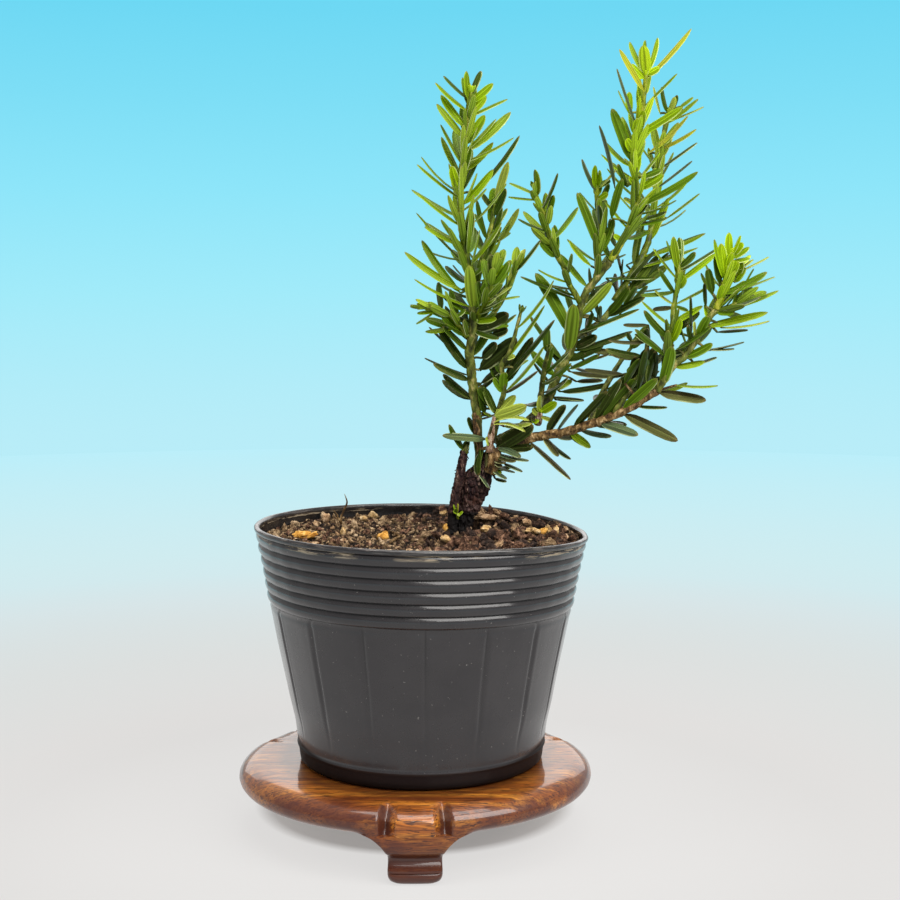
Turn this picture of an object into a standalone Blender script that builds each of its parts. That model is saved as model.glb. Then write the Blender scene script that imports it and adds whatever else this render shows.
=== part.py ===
"""A young dwarf Japanese yew, 100 mm tall, in a small black nursery pot on a wooden display stand.

Everything is laid out round the pot's axis, with +Z up and the photograph's view along +Y.
The plant's own places are given in millimetres from the trunk's foot, where it leaves the soil.
At the end one empty carries the whole, so that the origin lies under the middle of its box.
"""

import math

import bmesh
import bpy
from mathutils import Vector, bvhtree, noise

MM = 0.001
GAP = 0.3 * MM

# Stand
STAND_HEIGHT = 14.0 * MM
BOARD_THICKNESS = 5.3 * MM
BOARD_RADIUS = 35.6 * MM
BOARD_CENTRE_X = -1.2 * MM
EDGE_ROUND = 3.2 * MM
FOOT_ANGLES = (-90.0, 30.0, 150.0)
GROOVE_OFFSET = 10.2
GROOVE_WIDTH = 1.7
GROOVE_DEPTH = 1.1 * MM
FOOT_WIDTH = 10.2 * MM
FOOT_DEPTH = 7.5 * MM
FOOT_SHOULDER_WIDTH = 18.5 * MM
FOOT_SHOULDER_DROP = 3.1 * MM
FOOT_CORNER = 1.3 * MM

# Pot
POT_HEIGHT = 47.0 * MM
POT_RIM_RADIUS = 33.3 * MM
POT_MOUTH_RADIUS = 32.3 * MM
POT_BASE_RADIUS = 24.4 * MM
POT_WALL = 0.9 * MM
LIP_WIDTH = 0.8 * MM
LIP_HEIGHT = 1.4 * MM
RIB_COUNT = 5
RIB_PITCH = 2.65 * MM
RIB_DEPTH = 0.35 * MM
RIB_TOP_BELOW_RIM = 2.9 * MM
POT_LEAN = 0.016
RIM_SAG = 1.2 * MM
RIM_SAG_ANGLE = 75.0

# Soil
SOIL_BELOW_RIM = 2.4 * MM
SOIL_MOUND = 1.6 * MM
SOIL_MOUND_WIDTH = 13.0 * MM
SEAT_RADIUS = 3.4 * MM

# Plant
FOOT_X = 9.1 * MM
FOOT_Y = 4.0 * MM
KNOB = (4.3, -1.0, 15.2)
KNOB_TOP = (4.9, -1.2, 17.3)
KNOB_RADIUS = 2.35
KNOB_CLEAR = 0.55
LIMB_STEP = 2.4
MASS_SIDES = 9
MASS_STEP = 4.2
MASS_MARGIN = 0.25
LIMB_MARGIN = 0.45
UNEVENNESS = 0.42

POT_FLOOR = STAND_HEIGHT + GAP
RIM_HEIGHT = POT_FLOOR + POT_HEIGHT
SOIL_EDGE = RIM_HEIGHT - SOIL_BELOW_RIM
SOIL_SEAT = SOIL_EDGE + SOIL_MOUND
FOOT_HEIGHT = SOIL_SEAT + GAP


def clear_scene():
    for old in list(bpy.data.objects):
        bpy.data.objects.remove(old, do_unlink=True)


def make_material(name, colour, roughness, metallic=0.0):
    material = bpy.data.materials.new(name)
    material.use_nodes = True
    shader = material.node_tree.nodes["Principled BSDF"]
    shader.inputs["Base Color"].default_value = (*colour, 1.0)
    shader.inputs["Roughness"].default_value = roughness
    shader.inputs["Metallic"].default_value = metallic
    return material


def add_object(name, data, material, root):
    """Links one named piece under the root empty, with its material."""
    piece = bpy.data.objects.new(name, data)
    data.materials.append(material)
    bpy.context.scene.collection.objects.link(piece)
    piece.parent = root
    return piece


def add_mesh(name, bm, material, root, smooth=True):
    """Closes a bmesh into one named piece, with its faces turned out."""
    bmesh.ops.remove_doubles(bm, verts=bm.verts, dist=0.001 * MM)
    bmesh.ops.recalc_face_normals(bm, faces=bm.faces)
    mesh = bpy.data.meshes.new(name)
    bm.to_mesh(mesh)
    bm.free()
    if smooth:
        mesh.shade_smooth()
        mesh.set_sharp_from_angle(angle=math.radians(35))
    return add_object(name, mesh, material, root)


def turned(profile, angles, reshape=None):
    """A turned solid: the profile runs from the axis, round the section and back to the axis."""
    bm = bmesh.new()
    columns = []
    for angle in angles:
        turn = math.radians(angle)
        column = []
        for radius, height in profile:
            place = Vector((radius * math.cos(turn), radius * math.sin(turn), height))
            if reshape:
                place = reshape(place, angle)
            column.append(bm.verts.new(place))
        columns.append(column)
    for left, right in zip(columns, columns[1:] + columns[:1]):
        for low in range(len(profile) - 1):
            corners = [left[low], right[low], right[low + 1], left[low + 1]]
            bm.faces.new(corners)
    bmesh.ops.remove_doubles(bm, verts=bm.verts, dist=0.001 * MM)
    return bm


def even_angles(steps):
    return [360.0 * step / steps for step in range(steps)]


def away_from_foot(angle):
    """Degrees between a direction and the nearest foot's middle."""
    return min(abs((angle - foot + 180.0) % 360.0 - 180.0) for foot in FOOT_ANGLES)


def board_angles():
    """Even columns, with close ones at each groove."""
    grooves = []
    for foot in FOOT_ANGLES:
        for side in (-1, 1):
            for part in (-1, 0, 1):
                grooves.append((foot + side * GROOVE_OFFSET + part * GROOVE_WIDTH) % 360.0)
    clear = [a for a in even_angles(48) if all(abs(a - g) > 2.0 for g in grooves)]
    return sorted(clear + grooves)


def build_board(material, root):
    """The round board, with a rounded edge and a carved groove on both sides of each knee."""
    radius = BOARD_RADIUS
    top = STAND_HEIGHT
    under = STAND_HEIGHT - BOARD_THICKNESS
    profile = [
        (0.0, under),
        (radius - EDGE_ROUND, under),
        (radius - 0.42 * EDGE_ROUND, under + 0.25 * MM),
        (radius - 0.1 * EDGE_ROUND, under + 1.3 * MM),
        (radius, under + 2.6 * MM),
        (radius - 0.1 * EDGE_ROUND, top - 1.3 * MM),
        (radius - 0.42 * EDGE_ROUND, top - 0.35 * MM),
        (radius - EDGE_ROUND, top),
        (0.0, top),
    ]

    def carve(place, angle):
        from_groove = abs(away_from_foot(angle) - GROOVE_OFFSET)
        near_edge = max(0.0, place.xy.length - (radius - EDGE_ROUND)) / EDGE_ROUND
        depth = GROOVE_DEPTH * max(0.0, 1.0 - from_groove / GROOVE_WIDTH) * near_edge
        if place.xy.length > 0:
            place.xy -= place.xy.normalized() * depth
        return place

    board = add_mesh("stand_board", turned(profile, board_angles(), carve), material, root)
    board.location.x = BOARD_CENTRE_X
    return board


def arc(centre, radius, start, stop, steps):
    """Points on an arc, in degrees."""
    points = []
    for step in range(steps + 1):
        turn = math.radians(start + (stop - start) * step / steps)
        points.append((centre[0] + radius * math.cos(turn), centre[1] + radius * math.sin(turn)))
    return points


def foot_outline():
    """Half of a foot seen from outside: a spreading shoulder over a straight leg with a round toe."""
    half = FOOT_WIDTH / 2
    shoulder = FOOT_SHOULDER_WIDTH / 2
    top = STAND_HEIGHT - BOARD_THICKNESS - GAP
    sweep = min(shoulder - half, FOOT_SHOULDER_DROP)
    outline = [(shoulder, top), (shoulder, top - 0.2 * MM)]
    outline += arc((half + sweep, top - 0.2 * MM - sweep), sweep, 90, 180, 4)
    outline += arc((half - FOOT_CORNER, FOOT_CORNER), FOOT_CORNER, 0, -90, 3)
    return outline


def build_foot(name, angle, material, root):
    """One foot, cut across its width and let out to the board's edge."""
    half = foot_outline()
    outline = half + [(-x, z) for x, z in reversed(half)]
    front = -(BOARD_RADIUS - 0.9 * MM)
    bm = bmesh.new()
    face = bm.faces.new([bm.verts.new((x, front, z)) for x, z in outline])
    swept = bmesh.ops.extrude_face_region(bm, geom=[face])["geom"]
    back = [item for item in swept if isinstance(item, bmesh.types.BMVert)]
    bmesh.ops.translate(bm, verts=back, vec=(0.0, FOOT_DEPTH, 0.0))
    foot = add_mesh(name, bm, material, root)
    bevel = foot.modifiers.new("edge", "BEVEL")
    bevel.width = 0.45 * MM
    bevel.segments = 1
    bevel.limit_method = "ANGLE"
    bevel.angle_limit = math.radians(50)
    foot.rotation_euler.z = math.radians(angle + 90.0)
    foot.location.x = BOARD_CENTRE_X
    return foot


def wall_radius(height):
    """Outer radius of the pot's smooth wall at a height."""
    rise = (height - POT_FLOOR) / POT_HEIGHT
    return POT_BASE_RADIUS + (POT_MOUTH_RADIUS - POT_BASE_RADIUS) * rise


def lean(place, angle):
    """The thin pot stands a little lower on its right, its rim sags there, and its base is level."""
    rise = min(1.0, max(0.0, (place.z - POT_FLOOR - 2.0 * MM) / (6.0 * MM)))
    near_rim = max(0.0, (place.z - POT_FLOOR) / POT_HEIGHT) ** 3
    from_right = min(1.0, abs((angle + 180.0) % 360.0 - 180.0) / RIM_SAG_ANGLE)
    sag = RIM_SAG * near_rim * (0.5 + 0.5 * math.cos(math.pi * from_right))
    place.z -= POT_LEAN * place.x * rise + sag
    return place


def build_pot(material, root):
    """The thin pot: level base, smooth lower wall, ribbed upper wall and a rolled lip."""
    outside = [
        (0.0, POT_FLOOR),
        (POT_BASE_RADIUS - 0.8 * MM, POT_FLOOR),
        (POT_BASE_RADIUS, POT_FLOOR + 0.8 * MM),
        (wall_radius(POT_FLOOR + 3.0 * MM) - 0.1 * MM, POT_FLOOR + 3.0 * MM),
        (wall_radius(POT_FLOOR + 3.4 * MM) + 0.2 * MM, POT_FLOOR + 3.4 * MM),
    ]
    for rib in reversed(range(RIB_COUNT)):
        groove = RIM_HEIGHT - RIB_TOP_BELOW_RIM - (rib + 0.5) * RIB_PITCH
        outside.append((wall_radius(groove), groove - 0.45 * RIB_PITCH))
        outside.append((wall_radius(groove) - RIB_DEPTH, groove))
    neck = RIM_HEIGHT - LIP_HEIGHT
    outside += [
        (wall_radius(neck), neck - 1.0 * MM),
        (wall_radius(neck), neck),
        (POT_RIM_RADIUS, neck + 0.2 * MM),
        (POT_RIM_RADIUS, RIM_HEIGHT - 0.4 * MM),
        (POT_RIM_RADIUS - 0.4 * MM, RIM_HEIGHT),
        (POT_RIM_RADIUS - LIP_WIDTH - 0.5 * MM, RIM_HEIGHT),
    ]
    floor = POT_FLOOR + POT_WALL
    inside = [
        (wall_radius(neck) - POT_WALL - RIB_DEPTH, neck),
        (wall_radius(floor) - POT_WALL - RIB_DEPTH, floor),
        (0.0, floor),
    ]
    return add_mesh("pot", turned(outside + inside, even_angles(40), lean), material, root)


def build_soil(material, root):
    """The soil fills the pot and rises in a low mound round the trunk, with a flat seat under it."""
    clear = POT_WALL + RIB_DEPTH + GAP
    low = POT_FLOOR + POT_WALL + GAP
    edge = wall_radius(SOIL_EDGE) - clear - 0.1 * MM
    profile = [
        (0.0, low),
        (wall_radius(low) - clear - 0.3 * MM, low),
        (edge - 0.1 * MM, SOIL_EDGE - 0.6 * MM),
        (edge * 0.93, SOIL_EDGE),
        (edge * 0.74, SOIL_EDGE),
        (edge * 0.54, SOIL_EDGE),
        (edge * 0.34, SOIL_EDGE),
        (edge * 0.15, SOIL_EDGE),
        (0.0, SOIL_EDGE),
    ]
    foot = Vector((FOOT_X, FOOT_Y))

    def heap(place, angle):
        if place.z < SOIL_EDGE - 0.1 * MM:
            return lean(place, angle)
        reach = max(0.0, (place.xy - foot).length - SEAT_RADIUS) / SOIL_MOUND_WIDTH
        mound = math.exp(-reach * reach)
        rough = noise.noise(place / (3.5 * MM)) * 0.5 * MM
        place.z += SOIL_MOUND * mound + min(rough, 0.0) * (1.0 - mound)
        return place

    return add_mesh("soil", turned(profile, even_angles(24), heap), material, root)


def plant_place(point):
    """A point given in millimetres from the trunk's foot, in the part's metres."""
    return Vector((FOOT_X, FOOT_Y, FOOT_HEIGHT)) + Vector(point) * MM


def smooth_path(points, step):
    """Points about a step apart on a smooth curve through the given ones, all in millimetres."""
    points = [Vector(point) for point in points]
    ends = [points[0] * 2 - points[1]] + points + [points[-1] * 2 - points[-2]]
    path = []
    for before, start, stop, after in zip(ends, ends[1:], ends[2:], ends[3:]):
        count = max(1, round((stop - start).length / step))
        for part in range(count):
            t = part / count
            bend = (stop - before) * t
            bend += (before * 2 - start * 5 + stop * 4 - after) * t * t
            bend += (start * 3 - before - stop * 3 + after) * t * t * t
            path.append(start + bend * 0.5)
    path.append(points[-1])
    return path


class Limb:
    """A tapering limb, kept as its middle line and radii, in millimetres from the trunk's foot."""

    def __init__(self, name, points, radii):
        self.name = name
        self.line = smooth_path(points, LIMB_STEP)
        last = len(self.line) - 1
        self.radii = [self.radius_at(radii, index / last) for index in range(last + 1)]

    @staticmethod
    def radius_at(radii, along):
        place = along * (len(radii) - 1)
        low = min(int(place), len(radii) - 2)
        return radii[low] + (radii[low + 1] - radii[low]) * (place - low)

    def build(self, material, root):
        data = bpy.data.curves.new(self.name, "CURVE")
        data.dimensions = "3D"
        data.bevel_depth = MM
        data.bevel_resolution = 2
        data.use_fill_caps = True
        spline = data.splines.new("POLY")
        spline.points.add(len(self.line) - 1)
        for point, place, radius in zip(spline.points, self.line, self.radii):
            point.co = (*plant_place(place), 1.0)
            point.radius = radius
        spline.use_smooth = True
        return add_object(self.name, data, material, root)


def from_knob(heading):
    """Where a limb starts, just clear of the knob at the trunk's top."""
    return Vector(KNOB) + Vector(heading).normalized() * (KNOB_RADIUS + KNOB_CLEAR)


def shape_limbs():
    """The trunk, the thin stem beside it and the four boughs that leave the knob."""
    trunk = Limb(
        "trunk",
        [(0, 0, 0), (0, 0, 0.9), (1.0, 0, 3.9), (2.0, -0.2, 7.7), KNOB, KNOB_TOP],
        [3.1, 2.6, 2.45, 2.75, 2.7, 2.5, 2.45, 2.3, 1.3],
    )
    left_stem = Limb(
        "left_stem",
        [(-2.05, -1.75, 4.3), (-2.45, -2.1, 6.2), (-1.6, -2.3, 10.2), (-0.7, -2.6, 14.2)],
        [0.95, 0.9, 0.85],
    )
    left_bough = Limb(
        "left_bough",
        [from_knob((-0.3, 0.25, 0.92)), (1.8, 0, 21.2), (1.1, -1, 25.7), (1.1, -2, 30.2)],
        [1.1, 1.0, 0.9, 0.8],
    )
    middle_bough = Limb(
        "middle_bough",
        [from_knob((0.1, -0.72, 0.69)), (5.4, -5.3, 21.2), (6.7, -6.8, 25.7), (7.1, -7.2, 27.7)],
        [0.65, 0.6, 0.5],
    )
    right_bough = Limb(
        "right_bough",
        [
            from_knob((0.93, -0.35, 0.12)),
            (9.6, -2.7, 16.6),
            (18.6, -5.0, 19.0),
            (24.5, -7.2, 21.0),
            (30.3, -10, 23.5),
            (35.4, -12, 26.7),
        ],
        [1.25, 1.15, 1.1, 1.0, 0.85],
    )
    tall_bough = Limb(
        "tall_bough",
        [from_knob((0.55, 0.65, 0.52)), (11.4, 3.6, 20.4), (16.4, 5.0, 24.6), (19.4, 6.0, 31.0)],
        [1.1, 1.0, 0.95, 0.85],
    )
    return [trunk, left_stem, left_bough, middle_bough, right_bough, tall_bough]


class Mass:
    """A mass of foliage round one shoot: the shoot's line and how far its needles reach from it."""

    def __init__(self, name, reach, points, on=None, fullest=0.45):
        self.name = name
        self.reach = reach
        self.on = on
        self.line = smooth_path(points, MASS_STEP)
        self.fine = smooth_path(points, 0.5)
        self.fullest = fullest

    def spread(self, along):
        """Share of the reach at a place along the shoot: quick to open, then closing to the tip."""
        if along < self.fullest:
            return math.sqrt(math.sin(math.pi / 2 * along / self.fullest))
        past = (along - self.fullest) / (1.0 - self.fullest)
        return math.sqrt(max(0.0, 1.0 - past**2.4))

    def clear_reach(self, centre, way, wanted, limbs, others):
        """How far the mass may go one way before it meets a limb or a neighbour's share."""
        allowed = 0.35
        while allowed < wanted:
            probe = centre + way * (allowed + 0.3)
            own = min((probe - place).length for place in self.fine)
            for limb in limbs:
                for place, radius in zip(limb.line, limb.radii):
                    if (probe - place).length < max(radius + LIMB_MARGIN, LIMB_STEP * 0.5):
                        return allowed
            for other in others:
                if min((probe - place).length for place in other.fine) < own + 2 * MASS_MARGIN:
                    return allowed
            allowed += 0.3
        return wanted

    def seat(self, surfaces):
        """The mass's foot, moved to lie just clear of the mass that carries it."""
        foot = plant_place(self.line[0])
        if self.on is None:
            return foot
        nearest = surfaces[self.on].find_nearest(foot)[0]
        return nearest + (foot - nearest).normalized() * (GAP + 0.1 * MM)

    def build(self, limbs, others, surfaces, material, root):
        last = len(self.line) - 1
        bm = bmesh.new()
        rings = []
        side = Vector((0.3, 1.0, 0.2))
        for index in range(1, last):
            centre = self.line[index]
            forward = (self.line[index + 1] - self.line[index - 1]).normalized()
            side = (side - forward * side.dot(forward)).normalized()
            across = forward.cross(side)
            ring = []
            for number in range(MASS_SIDES):
                turn = 2 * math.pi * (number + 0.5 * (index % 2)) / MASS_SIDES
                way = side * math.cos(turn) + across * math.sin(turn)
                rough = noise.noise((centre + way * 4.0) / 4.0)
                wanted = self.reach * self.spread(index / last) * (1.0 + UNEVENNESS * rough)
                far = self.clear_reach(centre, way, wanted, limbs, others)
                ring.append(bm.verts.new(plant_place(centre + way * far)))
            rings.append(ring)
        tail = bm.verts.new(self.seat(surfaces))
        tip = bm.verts.new(plant_place(self.line[-1]))
        for number in range(MASS_SIDES):
            after = (number + 1) % MASS_SIDES
            bm.faces.new([tail, rings[0][number], rings[0][after]])
            bm.faces.new([tip, rings[-1][after], rings[-1][number]])
            for low, high in zip(rings, rings[1:]):
                bm.faces.new([low[number], low[after], high[after], high[number]])
        bmesh.ops.triangulate(bm, faces=bm.faces)
        surfaces[self.name] = bvhtree.BVHTree.FromBMesh(bm)
        return add_mesh(self.name, bm, material, root, smooth=False)


def left_masses():
    """The masses of the left shoot, of the thin stem and of the middle shoot."""
    spire = "spire_left_low"
    return [
        Mass("leaves_left_stem", 2.2, [(-0.6, -2.7, 14.7), (-2.3, -3.2, 17.6), (-4.7, -3.8, 18.9)]),
        Mass("leaves_left_low", 2.4, [(-0.3, -1.6, 26.3), (-3, -2.6, 29.5), (-6.5, -3.4, 33)]),
        Mass(spire, 8.0, [(1.1, -2.1, 30.7), (0.9, -3.3, 37), (1.2, -4, 44), (0.5, -4, 50)]),
        Mass(
            "spire_left_top",
            10.0,
            [(0.3, -4, 50.8), (-0.9, -4.4, 60), (-1.1, -5.4, 70), (-0.2, -6.2, 80), (0.9, -7, 89.5)],
            spire,
            fullest=0.3,
        ),
        Mass("tuft_left_side", 4.0, [(-1.6, -5, 38.7), (-5.3, -6.5, 42.7), (-11.2, -8, 44.9)], spire),
        Mass("tuft_left_front", 5.0, [(2.9, -7, 41.7), (4.4, -9, 47.2), (6.4, -10.5, 55.4)], spire),
        Mass("tuft_left_outer", 4.5, [(5.4, -3, 42.2), (8.4, -4, 48.2), (11.2, -5, 55.6)], spire),
        Mass("tuft_left_back", 5.5, [(1.4, 0.5, 42.2), (2.9, 4, 49.2), (2.9, 6, 58)], spire),
        Mass("tuft_middle", 5.0, [(7.15, -7.25, 28.2), (7.4, -7.5, 34), (9.4, -8.2, 43), (11.9, -9, 51.2)]),
    ]


def right_masses():
    """The masses of the right bough, with the few leaves that hang under it."""
    low = "mass_right_low"
    tip = "mass_right_tip"
    return [
        Mass("tuft_pale", 3.6, [(10.9, -3.2, 18.6), (11.5, -5, 22.6), (13.2, -7.5, 27.5)]),
        Mass("leaves_node", 2.6, [(6.0, -3.2, 13.9), (8, -3.6, 12), (10.6, -4.2, 9.6)]),
        Mass("leaves_under_bough", 1.5, [(14.2, -4.2, 16.2), (17.5, -6, 13), (21.4, -8, 9.3)]),
        Mass("leaves_under_tip", 2.4, [(31.4, -10.9, 22.4), (36, -11.9, 20.4), (41.3, -12.6, 18)]),
        Mass("mass_right_inner", 6.5, [(24.6, -7.4, 22.6), (26, -8, 29), (31, -8, 38), (36, -8, 46)]),
        Mass("tuft_right_back", 6.0, [(24.2, -5.8, 22.2), (29, -1, 27), (35, 2, 33.5)]),
        Mass(low, 8.5, [(35.8, -12.2, 27.1), (39.6, -14, 32), (46.4, -14, 42)]),
        Mass(tip, 9.5, [(46.8, -14, 42.6), (49.2, -13.8, 49), (51.1, -13, 57.5)], low, 0.4),
        Mass("leaves_right_tip", 4.5, [(50.2, -14.2, 42), (54, -14.6, 45), (59.6, -15, 47.4)], tip),
        Mass("spire_upright", 5.0, [(39.6, -11.6, 38), (40.1, -10.5, 43), (41, -9.5, 50), (41, -9, 58)], low),
    ]


def tall_masses():
    """The masses of the tall shoot and of the shoots that leave it."""
    low = "spire_tall_low"
    top = "spire_tall_top"
    back = "mass_back_branch"
    return [
        Mass("tuft_inner_low", 5.0, [(15.6, 3.4, 25.2), (15.6, -0.5, 31), (16.4, -3, 38.5)]),
        Mass(low, 8.0, [(19.6, 6.1, 31.5), (22, 7, 36), (24.4, 7, 43), (30.4, 6.6, 55.6)]),
        Mass(
            top,
            8.0,
            [(31, 6.4, 56.4), (34.8, 6, 66), (34.6, 6, 78), (36.4, 6, 88), (38.2, 6, 97.4)],
            low,
            fullest=0.3,
        ),
        Mass("leaves_top", 2.0, [(40.4, 6, 90.4), (42, 6, 94), (45.2, 6, 99.7)], top),
        Mass("spire_fork", 5.0, [(27.2, 8.6, 53.4), (28, 9.5, 59.3), (27.4, 10, 65), (27, 10, 73)], low),
        Mass("spire_leaning", 5.5, [(22, 5.2, 47), (19.4, 4.3, 53), (16.1, 2, 61.6), (13.4, -1, 71.4)], low),
        Mass(back, 7.5, [(26.6, 9.6, 41), (33, 14, 44.5), (43, 18, 49)], low),
        Mass("spire_back", 7.0, [(37, 14.2, 53), (39.5, 16, 61), (41, 17, 72), (44.6, 17, 88.6)], back),
    ]


def centre_on_box(root):
    """Moves the root empty so that the origin lies under the middle of the whole part's box."""
    bpy.context.view_layer.update()
    graph = bpy.context.evaluated_depsgraph_get()
    places = []
    for piece in root.children:
        solid = piece.evaluated_get(graph)
        places += [solid.matrix_world @ vertex.co for vertex in solid.to_mesh().vertices]
        solid.to_mesh_clear()
    for axis in (0, 1):
        low = min(place[axis] for place in places)
        high = max(place[axis] for place in places)
        root.location[axis] = -(low + high) / 2
    root.location[2] = -min(place[2] for place in places)


def main():
    clear_scene()
    root = bpy.data.objects.new("bonsai", None)
    bpy.context.scene.collection.objects.link(root)
    wood = make_material("stand wood", (0.30, 0.085, 0.025), 0.22)
    plastic = make_material("pot plastic", (0.045, 0.043, 0.047), 0.38)
    earth = make_material("soil", (0.17, 0.10, 0.06), 0.95)
    bark = make_material("bark", (0.11, 0.065, 0.045), 0.85)
    young_bark = make_material("young bark", (0.22, 0.17, 0.06), 0.7)
    needles = make_material("needles", (0.06, 0.14, 0.03), 0.5)
    young_needles = make_material("young needles", (0.28, 0.40, 0.02), 0.5)

    build_board(wood, root)
    for name, angle in zip(("front", "right", "left"), FOOT_ANGLES):
        build_foot(f"stand_foot_{name}", angle, wood, root)
    build_pot(plastic, root)
    build_soil(earth, root)

    limbs = shape_limbs()
    for limb in limbs:
        limb.build(bark if limb.name in ("trunk", "left_stem") else young_bark, root)
    masses = left_masses() + right_masses() + tall_masses()
    young = ("spire_left_top", "spire_tall_top", "mass_right_tip", "tuft_pale", "leaves_top")
    surfaces = {}
    for mass in masses:
        others = [other for other in masses if other is not mass]
        colour = young_needles if mass.name in young else needles
        mass.build(limbs, others, surfaces, colour, root)

    centre_on_box(root)


main()
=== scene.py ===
# %% [markdown]
# # A young dwarf yew in its nursery pot
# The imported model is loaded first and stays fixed. Its solids are plain on purpose: they say where
# the pot, the soil, the stand and each shoot are. Every cell after this one makes a finished piece
# that stands in the same place, so the looks can't drift away from the measured shape.

import math
import random

import bmesh
import bpy
from mathutils import Matrix, Vector, noise


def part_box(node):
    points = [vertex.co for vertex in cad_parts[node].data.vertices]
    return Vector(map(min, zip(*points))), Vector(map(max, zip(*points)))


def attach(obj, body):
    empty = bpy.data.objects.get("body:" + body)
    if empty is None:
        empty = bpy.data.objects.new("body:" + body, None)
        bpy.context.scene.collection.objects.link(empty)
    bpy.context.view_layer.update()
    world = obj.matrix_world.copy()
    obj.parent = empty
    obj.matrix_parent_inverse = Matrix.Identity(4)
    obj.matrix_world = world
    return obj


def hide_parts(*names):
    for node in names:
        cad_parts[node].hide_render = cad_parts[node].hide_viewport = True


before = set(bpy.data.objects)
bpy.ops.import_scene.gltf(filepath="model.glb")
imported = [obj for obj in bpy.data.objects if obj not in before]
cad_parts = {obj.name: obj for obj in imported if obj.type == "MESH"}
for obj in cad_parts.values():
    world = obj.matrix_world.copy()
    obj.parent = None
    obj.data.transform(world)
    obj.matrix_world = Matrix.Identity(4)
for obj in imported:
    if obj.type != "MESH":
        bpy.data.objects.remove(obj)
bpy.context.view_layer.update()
MM = 0.001
print("solids in the packed model:", len(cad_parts))

# %% [markdown]
# The pot is round, so its upright axis is the best ruler for the whole scene. All sizes below are
# millimetres from that axis, with x to the right, y away from the camera and z up from the table.

# %% Measure from the pot's axis
pot_low, pot_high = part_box("pot")
AXIS_X = (pot_low[0] + pot_high[0]) / 2


def spot(x, y, z):
    """A place in millimetres from the pot's axis, as a point of the model in metres."""
    return Vector((AXIS_X + x * MM, y * MM, z * MM))


print("pot axis at x =", round(AXIS_X / MM, 1), "mm")

# %% [markdown]
# A photograph is matched by standing where the photographer stood. The camera's distance, height,
# tilt and lens were worked out from the ellipses of the pot's rim and of the round board, so a
# piece with the right size also lands on the right place in the picture.

# %% Put up the camera
CAMERA_AWAY = 313.15
CAMERA_UP = 106.8
CAMERA_TILT = math.radians(5.556)
CAMERA_TURN = math.radians(1.063)
CAMERA_LENS = 63.0
CAMERA_SENSOR = 36.0

camera_data = bpy.data.cameras.new("camera")
camera_data.lens = CAMERA_LENS
camera_data.sensor_width = CAMERA_SENSOR
camera_data.sensor_fit = "HORIZONTAL"
camera_data.clip_start = 0.01
camera_data.clip_end = 20.0
camera = bpy.data.objects.new("camera", camera_data)
camera.location = spot(0, -CAMERA_AWAY, CAMERA_UP)
camera.rotation_euler = (math.pi / 2 - CAMERA_TILT, 0.0, -CAMERA_TURN)
bpy.context.scene.collection.objects.link(camera)
bpy.context.scene.camera = camera
print("camera stands", CAMERA_AWAY, "mm away")

# %% [markdown]
# The photograph has soft studio light: a broad source above, and a wide, low strip in front on the
# right that draws one bright line on each rib of the pot and on the stand's knee. A pale card stands
# behind, low enough for the lacquered board to mirror it. Area lamps are used because only a large
# lamp makes such soft edges. The world adds an even, nearly white fill.

# %% Light the table
WORLD_LIGHT = 0.42


def add_lamp(name, place, size, power, colour):
    data = bpy.data.lights.new(name, "AREA")
    data.shape = "RECTANGLE"
    data.size = size[0]
    data.size_y = size[1]
    data.energy = power
    data.color = colour
    lamp = bpy.data.objects.new(name, data)
    lamp.location = place
    lamp.rotation_euler = (spot(5, 0, 80) - place).to_track_quat("-Z", "Y").to_euler()
    bpy.context.scene.collection.objects.link(lamp)
    lamp.visible_camera = False
    print(name, power, "W")
    return lamp


add_lamp("lamp_top", spot(40, -60, 620), (0.50, 0.42), 2.6, (1.0, 0.985, 0.955))
add_lamp("lamp_front", spot(265, -330, 400), (0.56, 0.34), 3.5, (1.0, 0.98, 0.95))
lamp_left = add_lamp("lamp_left", spot(-430, -200, 320), (0.30, 0.40), 1.0, (1.0, 0.99, 0.98))
lamp_left.visible_glossy = False
add_lamp("card_behind", spot(0, 650, 240), (0.80, 0.24), 0.62, (1.0, 0.985, 0.97))

world = bpy.data.worlds.new("studio")
world.use_nodes = True
world.node_tree.nodes["Background"].inputs["Color"].default_value = (1.0, 0.99, 0.97, 1.0)
world.node_tree.nodes["Background"].inputs["Strength"].default_value = WORLD_LIGHT
bpy.context.scene.world = world
bpy.context.scene.view_settings.view_transform = "Standard"

# %% [markdown]
# Every finish is a small network of nodes on one Principled shader. One helper makes the shader and
# the coordinates, and the small functions after it add noise, colour ramps and bumps to it, so each
# later cell can say in a line or two what its surface is made of.

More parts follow.
